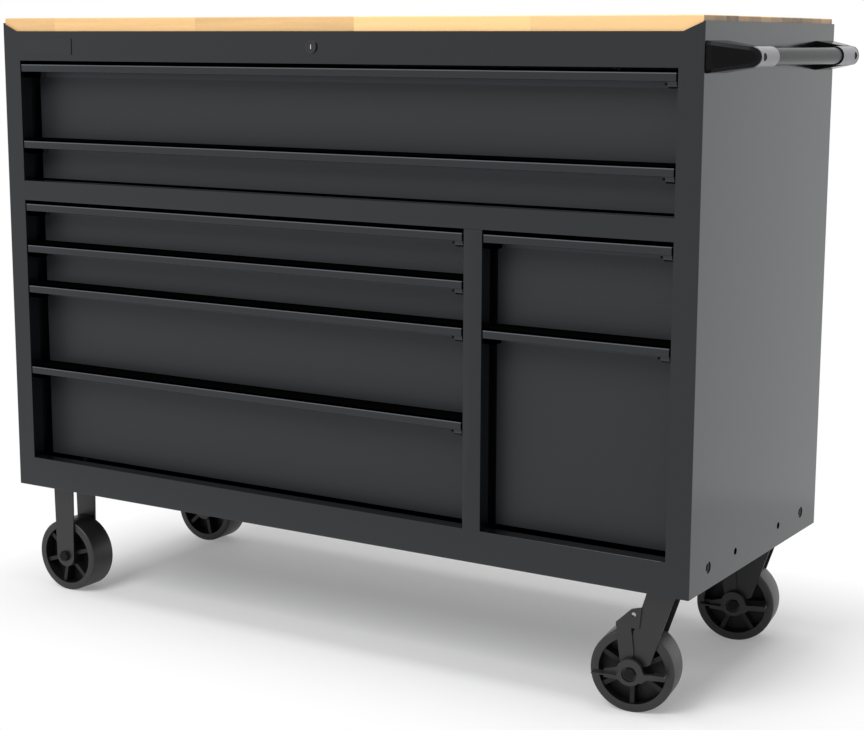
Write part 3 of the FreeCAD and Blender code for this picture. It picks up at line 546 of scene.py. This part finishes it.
def staves_group():
    """Glued hardwood staves along X, with grain, pores and darker end grain."""
    tree, start, end = new_group("Wood staves", COLOUR + floats("Stave width", "Stave length"), GRAIN_OUTPUTS)
    place = object_place(tree)
    parts = split(tree, place)
    row = maths(tree, "DIVIDE", parts["Y"], start.outputs["Stave width"])
    row_number = maths(tree, "FLOOR", row)
    along = maths(tree, "DIVIDE", parts["X"], start.outputs["Stave length"])
    along = add(tree, along, multiply(tree, scatter(tree, row_number), ROW_SHIFT))
    stave_number = add(tree, multiply(tree, row_number, ROW_STEP), maths(tree, "FLOOR", along))
    tone = scatter(tree, stave_number)
    seam = higher(tree, seam_mask(tree, row, SEAM_BETWEEN_ROWS), seam_mask(tree, along, SEAM_IN_ROW))

    offset = tree.nodes.new("ShaderNodeCombineXYZ")
    tree.links.new(multiply(tree, tone, FIGURE_SHIFT_X), offset.inputs["X"])
    tree.links.new(multiply(tree, tone, FIGURE_SHIFT_Z), offset.inputs["Z"])
    moved = vector_maths(tree, "ADD", place, offset.outputs[0])["Vector"]
    figure = noise(tree, moved, FIGURE_SCALE, detail=5.0)
    pore = noise(tree, moved, PORE_SCALE, detail=2.0)
    pore_dark = rise(tree, pore, *PORE_LIMITS)
    facing = split(tree, tree.nodes.new("ShaderNodeNewGeometry").outputs["Normal"])
    end_face = rise(tree, maths(tree, "ABSOLUTE", facing["X"]), *END_FACE_LIMITS)

    tone_swing = add(tree, TONE_SWING, multiply(tree, end_face, END_TONE_SWING))
    factor = add(tree, TONE_LOWEST, multiply(tree, tone, tone_swing))
    streak = multiply(tree, spread(tree, figure, *FIGURE_STREAK), subtract(tree, 1.0, end_face))
    factor = add(tree, factor, streak)
    for mask, darkness in ((pore_dark, PORE_DARKNESS), (seam, SEAM_DARKNESS), (end_face, END_DARKNESS)):
        factor = subtract(tree, factor, multiply(tree, mask, darkness))
    lit = shade(tree, start.outputs["Color"], factor)
    warm = towards(tree, spread(tree, figure, *FIGURE_WARMTH), lit, WARM_WOOD)
    tree.links.new(warm, end.inputs["Color"])
    tree.links.new(add(tree, LACQUER_ROUGH, multiply(tree, pore_dark, PORE_ROUGH)), end.inputs["Roughness"])
    tree.links.new(subtract(tree, pore, multiply(tree, seam, SEAM_DEPTH)), end.inputs["Height"])
    return tree


# Materials

def new_material(name, group, inputs, bump, distance, **sockets):
    """A material that reads a group; inputs go to the group, and sockets to the shader by name."""
    material = bpy.data.materials.new(name)
    material.use_nodes = True
    tree = material.node_tree
    shader = tree.nodes["Principled BSDF"]
    node = tree.nodes.new("ShaderNodeGroup")
    node.node_tree = group
    for label, value in inputs.items():
        node.inputs[label].default_value = value
    tree.links.new(node.outputs["Color"], shader.inputs["Base Color"])
    tree.links.new(node.outputs["Roughness"], shader.inputs["Roughness"])
    if "Specular" in node.outputs:
        tree.links.new(node.outputs["Specular"], shader.inputs["Specular IOR Level"])
    relief = tree.nodes.new("ShaderNodeBump")
    relief.inputs["Strength"].default_value = bump
    relief.inputs["Distance"].default_value = distance
    tree.links.new(node.outputs["Height"], relief.inputs["Height"])
    tree.links.new(relief.outputs["Normal"], shader.inputs["Normal"])
    for label, value in sockets.items():
        shader.inputs[label.replace("_", " ")].default_value = value
    return material


def paint(
        name, group, colour, contrast, roughness,
        swing=0.1, bump=0.1, distance=0.0001, places=None, **sockets):
    """A coat, metal or plastic that reads a grain group; swing is how far its roughness varies."""
    inputs = {
        "Color": (*colour, 1.0), "Contrast": contrast, "Roughness": roughness, "Roughness spread": swing,
        **(places or {}),
    }
    return new_material(name, group, inputs, bump, distance, **sockets)


def wood_material(colour):
    """The lacquered worktop."""
    inputs = {"Color": (*colour, 1.0), "Stave width": STAVE_WIDTH, "Stave length": STAVE_LENGTH}
    return new_material(
        "Worktop wood", staves_group(), inputs, bump=0.12, distance=0.0003, Specular_IOR_Level=0.3)


def dress(node, material):
    """Give a CAD node or a piece its material."""
    piece = NODES[node] if isinstance(node, str) else node
    if not piece.material_slots:
        piece.data.materials.append(material)
    for slot in piece.material_slots:
        slot.material = material


# Modelling helpers

def middle_of(node):
    """The middle of a CAD node's box."""
    return tuple((low + high) / 2.0 for low, high in zip(*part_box(node)))


def clear_selection():
    """Nothing selected, in object mode."""
    if bpy.context.object and bpy.context.object.mode != "OBJECT":
        bpy.ops.object.mode_set(mode="OBJECT")
    bpy.ops.object.select_all(action="DESELECT")


def select_only(piece):
    """One piece selected and active, in object mode."""
    clear_selection()
    piece.select_set(True)
    bpy.context.view_layer.objects.active = piece


def settle(piece, name):
    """Name a finished piece and put its place into its mesh."""
    select_only(piece)
    bpy.ops.object.transform_apply(location=True, rotation=True, scale=True)
    piece.name = name
    piece.data.name = name
    return piece


def apply_modifier(piece, kind, **values):
    """Add a modifier, set it and apply it."""
    select_only(piece)
    modifier = piece.modifiers.new(kind.title(), kind)
    for label, value in values.items():
        setattr(modifier, label, value)
    bpy.ops.object.modifier_apply(modifier=modifier.name)


def combine(piece, other, operation):
    """Cut or intersect with another blank, which is used up."""
    apply_modifier(piece, "BOOLEAN", object=other, operation=operation)
    bpy.data.objects.remove(other)


def join_pieces(pieces):
    """Several meshes made one, the first being kept."""
    clear_selection()
    for piece in pieces:
        piece.select_set(True)
    bpy.context.view_layer.objects.active = pieces[0]
    bpy.ops.object.join()
    return pieces[0]


def pick(piece, kind, chosen):
    """Enter edit mode with only the faces or edges selected that pass a test."""
    bpy.context.view_layer.objects.active = piece
    bpy.ops.object.mode_set(mode="EDIT")
    bpy.ops.mesh.select_mode(type=kind)
    bpy.ops.mesh.select_all(action="DESELECT")
    bpy.ops.object.mode_set(mode="OBJECT")
    for element in (piece.data.polygons if kind == "FACE" else piece.data.edges):
        element.select = bool(chosen(element))
    bpy.ops.object.mode_set(mode="EDIT")


def round_off(piece, chosen, width, segments):
    """Round the edges whose two ends pass a test."""
    def passes(edge):
        first, second = (piece.data.vertices[index].co for index in edge.vertices)
        return chosen(first, second)
    clear_selection()
    pick(piece, "EDGE", passes)
    bpy.ops.mesh.bevel(offset=width, segments=segments, profile=0.5, affect="EDGES", clamp_overlap=False)
    bpy.ops.object.mode_set(mode="OBJECT")


def merged_copy(node, name):
    """A copy of a CAD node with its triangles joined, to be shown in the node's place."""
    select_only(NODES[node])
    bpy.ops.object.duplicate(linked=False)
    piece = bpy.context.object
    bpy.ops.object.parent_clear(type="CLEAR_KEEP_TRANSFORM")
    for key in list(piece.keys()):
        del piece[key]
    bpy.ops.object.mode_set(mode="EDIT")
    bpy.ops.mesh.select_all(action="SELECT")
    bpy.ops.mesh.remove_doubles(threshold=MERGE_REACH)
    bpy.ops.mesh.customdata_custom_splitnormals_clear()
    bpy.ops.object.mode_set(mode="OBJECT")
    return settle(piece, name)


def stand_in(piece, node, body):
    """Show a piece on its body in place of a CAD node."""
    select_only(piece)
    bpy.ops.object.shade_smooth_by_angle(angle=math.radians(PIECE_SMOOTH))
    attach(piece, body)
    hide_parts(node)


def cylinder(radius, depth, place, turn):
    """A plain round bar, used as a blank or a cutter."""
    clear_selection()
    bpy.ops.mesh.primitive_cylinder_add(
        vertices=64, radius=radius, depth=depth, location=place, rotation=turn)
    return settle(bpy.context.object, "blank")


def screw_head(radius, height, turn):
    """A pan head screw with a cross recess at the origin, turned from its axis along Z."""
    clear_selection()
    bpy.ops.mesh.primitive_cylinder_add(vertices=28, radius=radius, depth=height, location=(0, 0, 0))
    head = bpy.context.object
    pick(head, "FACE", lambda face: face.normal.z > FACING_UP)
    bpy.ops.mesh.bevel(offset=radius * SCREW_ROUND_SHARE, segments=4, affect="EDGES")
    bpy.ops.object.mode_set(mode="OBJECT")
    length, width, depth = SCREW_RECESS
    for angle in (0.0, 90.0):
        clear_selection()
        bpy.ops.mesh.primitive_cube_add(size=1.0, location=(0, 0, height / 2.0))
        blade = bpy.context.object
        blade.scale = (radius * length, radius * width, height * depth)
        blade.rotation_euler = (0, 0, math.radians(angle))
        combine(head, settle(blade, "recess"), "DIFFERENCE")
    select_only(head)
    bpy.ops.object.shade_smooth_by_angle(angle=math.radians(SCREW_SMOOTH))
    head.rotation_euler = turn
    return head


def copy_to(piece, place):
    """A copy of a piece with its own mesh, at a place."""
    twin = piece.copy()
    twin.data = piece.data.copy()
    bpy.context.collection.objects.link(twin)
    twin.location = place
    return twin


# Operators

class CABINET_OT_finishes(bpy.types.Operator):
    """Give every CAD node its paint, metal, wood or plastic"""
    bl_idname = "cabinet.finishes"
    bl_label = "Finishes"

    def execute(self, context):
        values = context.scene.cabinet_finishes
        coat = grain_group("Powder coat grain", grain=(650, 650, 650), clouds=(5, 5, 5), fleck=0.4)
        moulded = grain_group("Moulded grain", grain=(380, 380, 380), clouds=(12, 12, 12), fleck=0.5)
        drawn = grain_group("Drawn metal along Y", grain=(900, 14, 900), clouds=(6, 6, 6), fleck=0.6)
        plated = grain_group("Plated metal", grain=(500, 500, 500), clouds=(30, 30, 30), fleck=0.5)
        finishes = {
            "worktop_wood": wood_material(values.wood_colour),
            **self.coats(values, coat),
            **self.metals(values, drawn, plated),
            **self.plastics(values, moulded),
        }
        for entry in frame["record"]["subparts"]:
            dress(entry["node"], finishes[entry["material_slot"]])
        self.dress_drawers(values, coat)
        self.dress_wheels(values, moulded)
        return {"FINISHED"}

    def coats(self, values, coat):
        """Powder coat and the casters' coating, by material slot."""
        return {
            "body_paint": paint(
                "Body paint", coat, values.body_colour, contrast=0.3, roughness=values.body_gloss,
                Specular_Tint=COAT_TINT),
            "inner_paint": paint(
                "Inner paint", coat, values.body_colour, contrast=0.3, roughness=0.5, bump=0.12,
                Specular_IOR_Level=0.15),
            "caster_steel": paint(
                "Caster coating", coat, values.caster_colour, contrast=0.4, roughness=0.34, swing=0.12,
                bump=0.12),
        }

    def metals(self, values, drawn, plated):
        """Bare, plated and oxidised metals, by material slot; bright metal is for small pieces only."""
        paint(
            "Bright metal", plated, (0.75, 0.75, 0.76), contrast=0.2, roughness=0.22, bump=0.05,
            Metallic=1.0)
        return {
            "slide_steel": paint(
                "Zinc plated slides", drawn, (0.42, 0.43, 0.44), contrast=0.35, roughness=0.32, swing=0.2,
                Metallic=1.0),
            "bar_steel": paint(
                "Zinc plated bar", plated, (0.40, 0.41, 0.42), contrast=0.3, roughness=0.4, swing=0.2,
                Metallic=1.0),
            "lock_chrome": paint(
                "Plated lock", plated, (0.02, 0.02, 0.021), contrast=0.2, roughness=0.2, bump=0.05,
                Metallic=0.3),
            "grip_aluminium": paint(
                "Satin tube", drawn, values.grip_colour, contrast=0.25, roughness=0.26, swing=0.12, bump=0.05,
                Specular_IOR_Level=0.12),
            "plate_aluminium": paint(
                "Bare plate", plated, (0.005, 0.0052, 0.006), contrast=0.2, roughness=0.2, bump=0.06,
                Specular_Tint=COAT_TINT),
            "bolt_steel": paint(
                "Black oxide", plated, (0.014, 0.014, 0.015), contrast=0.4, roughness=0.42, swing=0.15,
                Specular_IOR_Level=0.04),
        }

    def plastics(self, values, moulded):
        """Moulded plastics, by material slot; the black for painted shade is for small pieces only."""
        # Painted shade: a black for the small pieces that stand for shade at the grip and the pulls
        paint(
            "Black for painted shade", moulded, (0.002, 0.002, 0.002), contrast=0.4, roughness=0.6,
            Specular_IOR_Level=0.1)
        return {
            "sleeve_plastic": paint(
                "Sleeve plastic", moulded, values.sleeve_colour, contrast=0.15, roughness=0.42),
            "bracket_plastic": paint(
                "Bracket plastic", moulded, (0.0032, 0.0032, 0.0035), contrast=0.4, roughness=0.2, swing=0.08,
                bump=0.05, Specular_IOR_Level=0.08),
            "wheel_plastic": paint(
                "Wheel plastic", moulded, values.wheel_colour, contrast=0.5, roughness=0.42, swing=0.15,
                bump=0.15, distance=0.0002),
        }

    def dress_drawers(self, values, coat):
        """Satin faces, the shallow ones painted lighter against shade, and a coat for each pull that knows
        its place.
        """
        satin = {
            "contrast": 0.1, "roughness": values.face_gloss,
            "Specular_IOR_Level": 0.3, "Specular_Tint": COAT_TINT,
        }
        # Painted light: the shallow drawers' coat is made lighter to offset the shade from the pulls above
        # them
        painted_lighter = [channel * SHALLOW_PAINTED_LIGHT for channel in values.face_colour]
        face = paint("Drawer paint", coat, values.face_colour, **satin)
        shallow_lit_face = paint("Shallow drawer paint, painted lighter", coat, painted_lighter, **satin)
        group = pull_group(coat)
        for name in DRAWERS:
            dress(name, shallow_lit_face if name in SHALLOW_DRAWERS else face)
            low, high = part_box(name + "_pull")
            material = paint(
                "Coat of " + name.replace("_", " ") + " pull", group, values.body_colour,
                contrast=0.3, roughness=values.body_gloss, Specular_Tint=COAT_TINT,
                places={"Top": high[2], "Left": low[0], "Front": low[1]})
            dress(name + "_pull", material)

    def dress_wheels(self, values, moulded):
        """A plastic for each wheel, with painted shade inside its rim, that knows the wheel's centre."""
        group = wheel_group(moulded)
        for name in WHEELS:
            material = paint(
                "Plastic of " + name.replace("_", " "), group, values.wheel_colour,
                contrast=0.5, roughness=0.42, swing=0.15, bump=0.15, distance=0.0002,
                places={"Centre": middle_of(name)})
            dress(name, material)


class CABINET_OT_soft_edges(bpy.types.Operator):
    """Round the wheels' treads and the long edges of the front frame"""
    bl_idname = "cabinet.soft_edges"
    bl_label = "Soft edges"

    def execute(self, context):
        values = context.scene.cabinet_sizes
        for node in WHEELS:
            turn = SWIVEL_REST if node.startswith("swivel") else 0.0
            self.round_wheel(node, turn, values.tread_round)
        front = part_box("middle_rail")[0][1]
        for node in FRAME_BARS:
            self.round_bar(node, front, values.sheet_round)
        return {"FINISHED"}

    def round_wheel(self, node, turn, width):
        """Round both edges of a wheel's tread."""
        centre = Vector(middle_of(node))
        angle = math.radians(turn)
        axis = Vector((-math.sin(angle), math.cos(angle), 0.0))

        def chosen(first, second):
            for point in (first, second):
                away = point - centre
                if (away - axis * away.dot(axis)).length < TREAD_RADIUS - SAME_CIRCLE:
                    return False
            run = first - second
            return abs(run.dot(axis)) < SAME_CIRCLE and run.length < TREAD_STEP
        piece = merged_copy(node, node + "_rounded")
        round_off(piece, chosen, width, segments=4)
        stand_in(piece, node, node)

    def round_bar(self, node, front, width):
        """Round the long front edges of a rail or of the post."""
        low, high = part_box(node)
        length = max(high[0] - low[0], high[2] - low[2])

        def chosen(first, second):
            ahead = max(first.y, second.y) < front + SAME_PLACE
            run = first - second
            return ahead and run.length > LONG_SHARE * length and min(abs(run.x), abs(run.z)) < SAME_PLACE
        piece = merged_copy(node, node + "_rounded")
        round_off(piece, chosen, width, segments=3)
        stand_in(piece, node, "cabinet")


class CABINET_OT_slide_balls(bpy.types.Operator):
    """Lay rows of bearing balls in the cages of every drawer slide"""
    bl_idname = "cabinet.slide_balls"
    bl_label = "Slide balls"

    def execute(self, context):
        values = context.scene.cabinet_sizes
        for name in DRAWERS:
            low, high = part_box(name + "_slides")
            middle = (low[2] + high[2]) / 2.0
            reach = (high[2] - low[2]) / 2.0 + values.ball_radius + BALL_GAP
            start = low[1] + BALL_MARGIN
            step = (high[1] - low[1] - 2.0 * BALL_MARGIN) / (values.ball_count - 1)
            rows = []
            for x in (low[0] + BALL_INSET, high[0] - BALL_INSET):
                for z in (middle - reach, middle + reach):
                    rows.append(self.ball_row((x, start, z), step, values))
            balls = settle(join_pieces(rows), name + "_slide_balls")
            bpy.ops.object.shade_smooth()
            dress(balls, bpy.data.materials["Zinc plated slides"])
            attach(balls, name + "_slides")
        return {"FINISHED"}

    def ball_row(self, place, step, values):
        """A row of balls along Y that starts at a place."""
        clear_selection()
        bpy.ops.mesh.primitive_ico_sphere_add(subdivisions=2, radius=values.ball_radius, location=place)
        row = bpy.context.object
        apply_modifier(
            row, "ARRAY", count=values.ball_count, use_relative_offset=False,
            use_constant_offset=True, constant_offset_displace=(0, step, 0))
        return row


class CABINET_OT_rear_screws(bpy.types.Operator):
    """Set screws along the sides of the rear panel"""
    bl_idname = "cabinet.rear_screws"
    bl_label = "Rear screws"

    def execute(self, context):
        low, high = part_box("back_panel")
        y = high[1] + SCREW_GAP + SCREW_HEIGHT * SCREW_PROUD_SHARE
        step = (high[2] - low[2] - 2.0 * SCREW_END_MARGIN) / (SCREWS_ON_SIDE - 1)
        master = screw_head(context.scene.cabinet_sizes.screw_radius, SCREW_HEIGHT, FACING_REAR)
        heads = []
        for x in (low[0] + SCREW_SIDE_MARGIN, high[0] - SCREW_SIDE_MARGIN):
            for number in range(SCREWS_ON_SIDE):
                heads.append(copy_to(master, (x, y, low[2] + SCREW_END_MARGIN + number * step)))
        bpy.data.objects.remove(master)
        screws = settle(join_pieces(heads), "rear_panel_screws")
        dress(screws, bpy.data.materials["Black oxide"])
        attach(screws, "cabinet")
        return {"FINISHED"}


class CABINET_OT_grip_details(bpy.types.Operator):
    """Black rings of painted shade round the grip's screws and at the sleeves' inner ends"""
    bl_idname = "cabinet.grip_details"
    bl_label = "Grip details"

    def execute(self, context):
        low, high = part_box("handle_sleeves")
        x, _, z = middle_of("handle_sleeves")
        radius = (high[2] - low[2]) / 2.0
        rings = []
        for end, inward in ((low[1], 1.0), (high[1], -1.0)):
            inner_end = end + inward * (SLEEVE_LENGTH + END_RING_WIDTH / 2.0)
            # Painted shade round each screw and in the gap at each sleeve's inner end
            rings.append(self.screw_shade_ring(x, end + inward * GRIP_SCREW_PLACE, z, radius))
            rings.append(self.end_shade_ring((x, inner_end, z), radius))
        piece = settle(join_pieces(rings), "grip_shade_rings")
        dress(piece, bpy.data.materials["Black for painted shade"])
        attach(piece, "cabinet")
        return {"FINISHED"}

    def screw_shade_ring(self, x, y, z, radius):
        """A thin black ring that follows the sleeve's round surface, painted shade for the hole round the
        screw.
        """
        centre = (x, y, z)
        outside = (x + RING_BLANK / 2.0, y, z)
        longer = RING_BLANK + CUTTER_SPARE
        ring = cylinder(SCREW_RING_OUTER, RING_BLANK, outside, ALONG_X)
        combine(ring, cylinder(radius + SCREW_RING_PROUD, RING_BLANK, centre, ALONG_Y), "INTERSECT")
        combine(ring, cylinder(radius - SCREW_RING_SUNK, longer, centre, ALONG_Y), "DIFFERENCE")
        combine(ring, cylinder(SCREW_RING_INNER, longer + CUTTER_SPARE, outside, ALONG_X), "DIFFERENCE")
        return ring

    def end_shade_ring(self, place, radius):
        """A flat black ring in the gap between sleeve and tube, painted shade for that gap."""
        ring = cylinder(radius - END_RING_GAP, END_RING_WIDTH, place, ALONG_Y)
        combine(ring, cylinder(GRIP_TUBE_RADIUS + END_RING_GAP, CUTTER_SPARE, place, ALONG_Y), "DIFFERENCE")
        return ring


class CABINET_OT_front_details(bpy.types.Operator):
    """The shutter of the keyway and the black tab, painted shade, beside the right end cap of each pull"""
    bl_idname = "cabinet.front_details"
    bl_label = "Front details"

    def execute(self, context):
        self.add_shutter()
        for name in DRAWERS:
            self.add_shade_tab(name)
        return {"FINISHED"}

    def add_shutter(self):
        """A bright plate that closes the keyway and turns with the plug."""
        x, _, z = middle_of("lock_barrel")
        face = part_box("lock_plug")[0][1]
        clear_selection()
        bpy.ops.mesh.primitive_cube_add(size=1.0, location=(x, face + SHUTTER_DEPTH, z))
        shutter = bpy.context.object
        shutter.scale = SHUTTER_SIZE
        shutter = settle(shutter, "keyway_shutter")
        apply_modifier(shutter, "BEVEL", width=SMALL_ROUND, segments=3)
        dress(shutter, bpy.data.materials["Bright metal"])
        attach(shutter, "lock_plug")

    def add_shade_tab(self, name):
        """A small round black tab beside a pull's right end cap, below the strip, painted shade at the cap's
        corner.
        """
        low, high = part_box(name + "_pull")
        place = (high[0] - TAB_PLACE, low[1] + TAB_DEPTH, high[2] - TAB_DROP)
        piece = cylinder(TAB_RADIUS, TAB_LENGTH, place, ALONG_Y)
        apply_modifier(piece, "BEVEL", width=SMALL_ROUND, segments=2, limit_method="ANGLE")
        piece = settle(piece, name + "_cap_shade_tab")
        dress(piece, bpy.data.materials["Black for painted shade"])
        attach(piece, name)


class CABINET_OT_studio(bpy.types.Operator):
    """Set up the floor, the soft lights, the world and the camera"""
    bl_idname = "cabinet.studio"
    bl_label = "Studio"

    def execute(self, context):
        values = context.scene.cabinet_studio
        self.make_floor(values.floor_size)
        self.make_world(context.scene)
        self.add_lamp("Main light", MAIN_LAMP, values.key_power)
        side = self.add_lamp("Side light", SIDE_LAMP, values.side_power)
        side.visible_diffuse = False
        self.add_lamp("Top light", TOP_LAMP, values.fill_power)
        self.add_camera(context.scene)
        context.scene.view_settings.view_transform = "Standard"
        return {"FINISHED"}

    def make_floor(self, size):
        """A pale floor that fades to white away from the cabinet and keeps its shadow."""
        clear_selection()
        bpy.ops.mesh.primitive_plane_add(size=size, location=(0, 0, 0))
        floor = settle(bpy.context.object, "studio_floor")
        material = bpy.data.materials.new("Studio floor")
        material.use_nodes = True
        tree = material.node_tree
        shader = tree.nodes["Principled BSDF"]
        shader.inputs["Base Color"].default_value = FLOOR_COLOUR
        shader.inputs["Roughness"].default_value = FLOOR_ROUGH
        shader.inputs["Specular IOR Level"].default_value = FLOOR_SPECULAR
        light = tree.nodes.new("ShaderNodeEmission")
        both = tree.nodes.new("ShaderNodeMixShader")
        tree.links.new(multiply(tree, self.glow(tree), seen_directly(tree)), both.inputs[0])
        tree.links.new(shader.outputs[0], both.inputs[1])
        tree.links.new(light.outputs[0], both.inputs[2])
        tree.links.new(both.outputs[0], tree.nodes["Material Output"].inputs["Surface"])
        dress(floor, material)

    def glow(self, tree):
        """The floor's own light, which grows with the distance from a rectangle below the cabinet."""
        parts = split(tree, object_place(tree))
        outside = tree.nodes.new("ShaderNodeCombineXYZ")
        for axis, middle, half in zip("XY", SHADE_MIDDLE, SHADE_HALF):
            away = maths(tree, "ABSOLUTE", subtract(tree, parts[axis], middle))
            tree.links.new(higher(tree, subtract(tree, away, half), 0.0), outside.inputs[axis])
        distance = vector_maths(tree, "LENGTH", outside.outputs[0])["Value"]
        return spread(tree, distance, 0.0, SHADE_FADE, SHADE_LIGHT, 1.0)

    def make_world(self, scene):
        """A white surround, dimmer as a lamp than it looks."""
        world = bpy.data.worlds.new("Studio surround")
        scene.world = world
        world.use_nodes = True
        tree = world.node_tree
        background = tree.nodes["Background"]
        background.inputs["Color"].default_value = (1.0, 1.0, 1.0, 1.0)
        strength = spread(tree, seen_directly(tree), 0.0, 1.0, WORLD_LAMP, 1.0)
        tree.links.new(strength, background.inputs["Strength"])

    def add_lamp(self, name, lamp, power):
        """A large rectangular lamp aimed at a point, hidden from the camera."""
        place, target, (width, height) = lamp
        bpy.ops.object.light_add(type="AREA", location=place)
        light = bpy.context.object
        light.name = name
        light.data.shape = "RECTANGLE"
        light.data.size = width
        light.data.size_y = height
        light.data.energy = power
        light.visible_camera = False
        direction = Vector(target) - Vector(place)
        light.rotation_euler = direction.to_track_quat("-Z", "Y").to_euler()
        return light

    def add_camera(self, scene):
        """The camera, where the photograph was taken from."""
        yaw = math.radians(CAMERA_YAW)
        pitch = math.radians(CAMERA_PITCH)
        roll = math.radians(CAMERA_ROLL)
        flat = math.cos(pitch)
        forward = Vector((-math.sin(yaw) * flat, math.cos(yaw) * flat, -math.sin(pitch)))
        level = Vector((math.cos(yaw), math.sin(yaw), 0.0))
        upright = level.cross(forward)
        right = level * math.cos(roll) + upright * math.sin(roll)
        top = upright * math.cos(roll) - level * math.sin(roll)
        bpy.ops.object.camera_add(location=CAMERA_PLACE)
        camera = bpy.context.object
        camera.name = "Photo camera"
        camera.data.sensor_width = CAMERA_SENSOR
        camera.data.lens = CAMERA_LENS
        turn = Matrix((right, top, -forward)).transposed()
        camera.matrix_world = Matrix.Translation(CAMERA_PLACE) @ turn.to_4x4()
        scene.camera = camera


class CABINET_PT_panel(bpy.types.Panel):
    """Tools of the rolling tool cabinet"""
    bl_idname = "CABINET_PT_panel"
    bl_label = "Rolling tool cabinet"
    bl_space_type = "VIEW_3D"
    bl_region_type = "UI"
    bl_category = "Cabinet"

    def draw(self, context):
        for name, group in PROPERTIES:
            box = self.layout.box()
            for label in group.__annotations__:
                box.prop(getattr(context.scene, name), label)
        for operator in OPERATORS:
            self.layout.operator(operator.bl_idname)


PROPERTIES = (
    ("cabinet_finishes", CabinetFinishes),
    ("cabinet_sizes", CabinetSizes),
    ("cabinet_studio", CabinetStudio),
)
OPERATORS = (
    CABINET_OT_finishes, CABINET_OT_soft_edges, CABINET_OT_slide_balls, CABINET_OT_rear_screws,
    CABINET_OT_grip_details, CABINET_OT_front_details, CABINET_OT_studio,
)


def register():
    """Make the properties, operators and panel known to Blender."""
    for name, group in PROPERTIES:
        bpy.utils.register_class(group)
        setattr(bpy.types.Scene, name, bpy.props.PointerProperty(type=group))
    for operator in OPERATORS:
        bpy.utils.register_class(operator)
    bpy.utils.register_class(CABINET_PT_panel)


def unregister():
    """Take the panel, operators and properties away again."""
    bpy.utils.unregister_class(CABINET_PT_panel)
    for operator in reversed(OPERATORS):
        bpy.utils.unregister_class(operator)
    for name, group in reversed(PROPERTIES):
        delattr(bpy.types.Scene, name)
        bpy.utils.unregister_class(group)


def main():
    """Dress the cabinet."""
    register()
    bpy.ops.cabinet.finishes()
    bpy.ops.cabinet.soft_edges()
    bpy.ops.cabinet.slide_balls()
    bpy.ops.cabinet.rear_screws()
    bpy.ops.cabinet.grip_details()
    bpy.ops.cabinet.front_details()
    bpy.ops.cabinet.studio()
    bpy.context.view_layer.update()


if __name__ == "__main__":
    main()
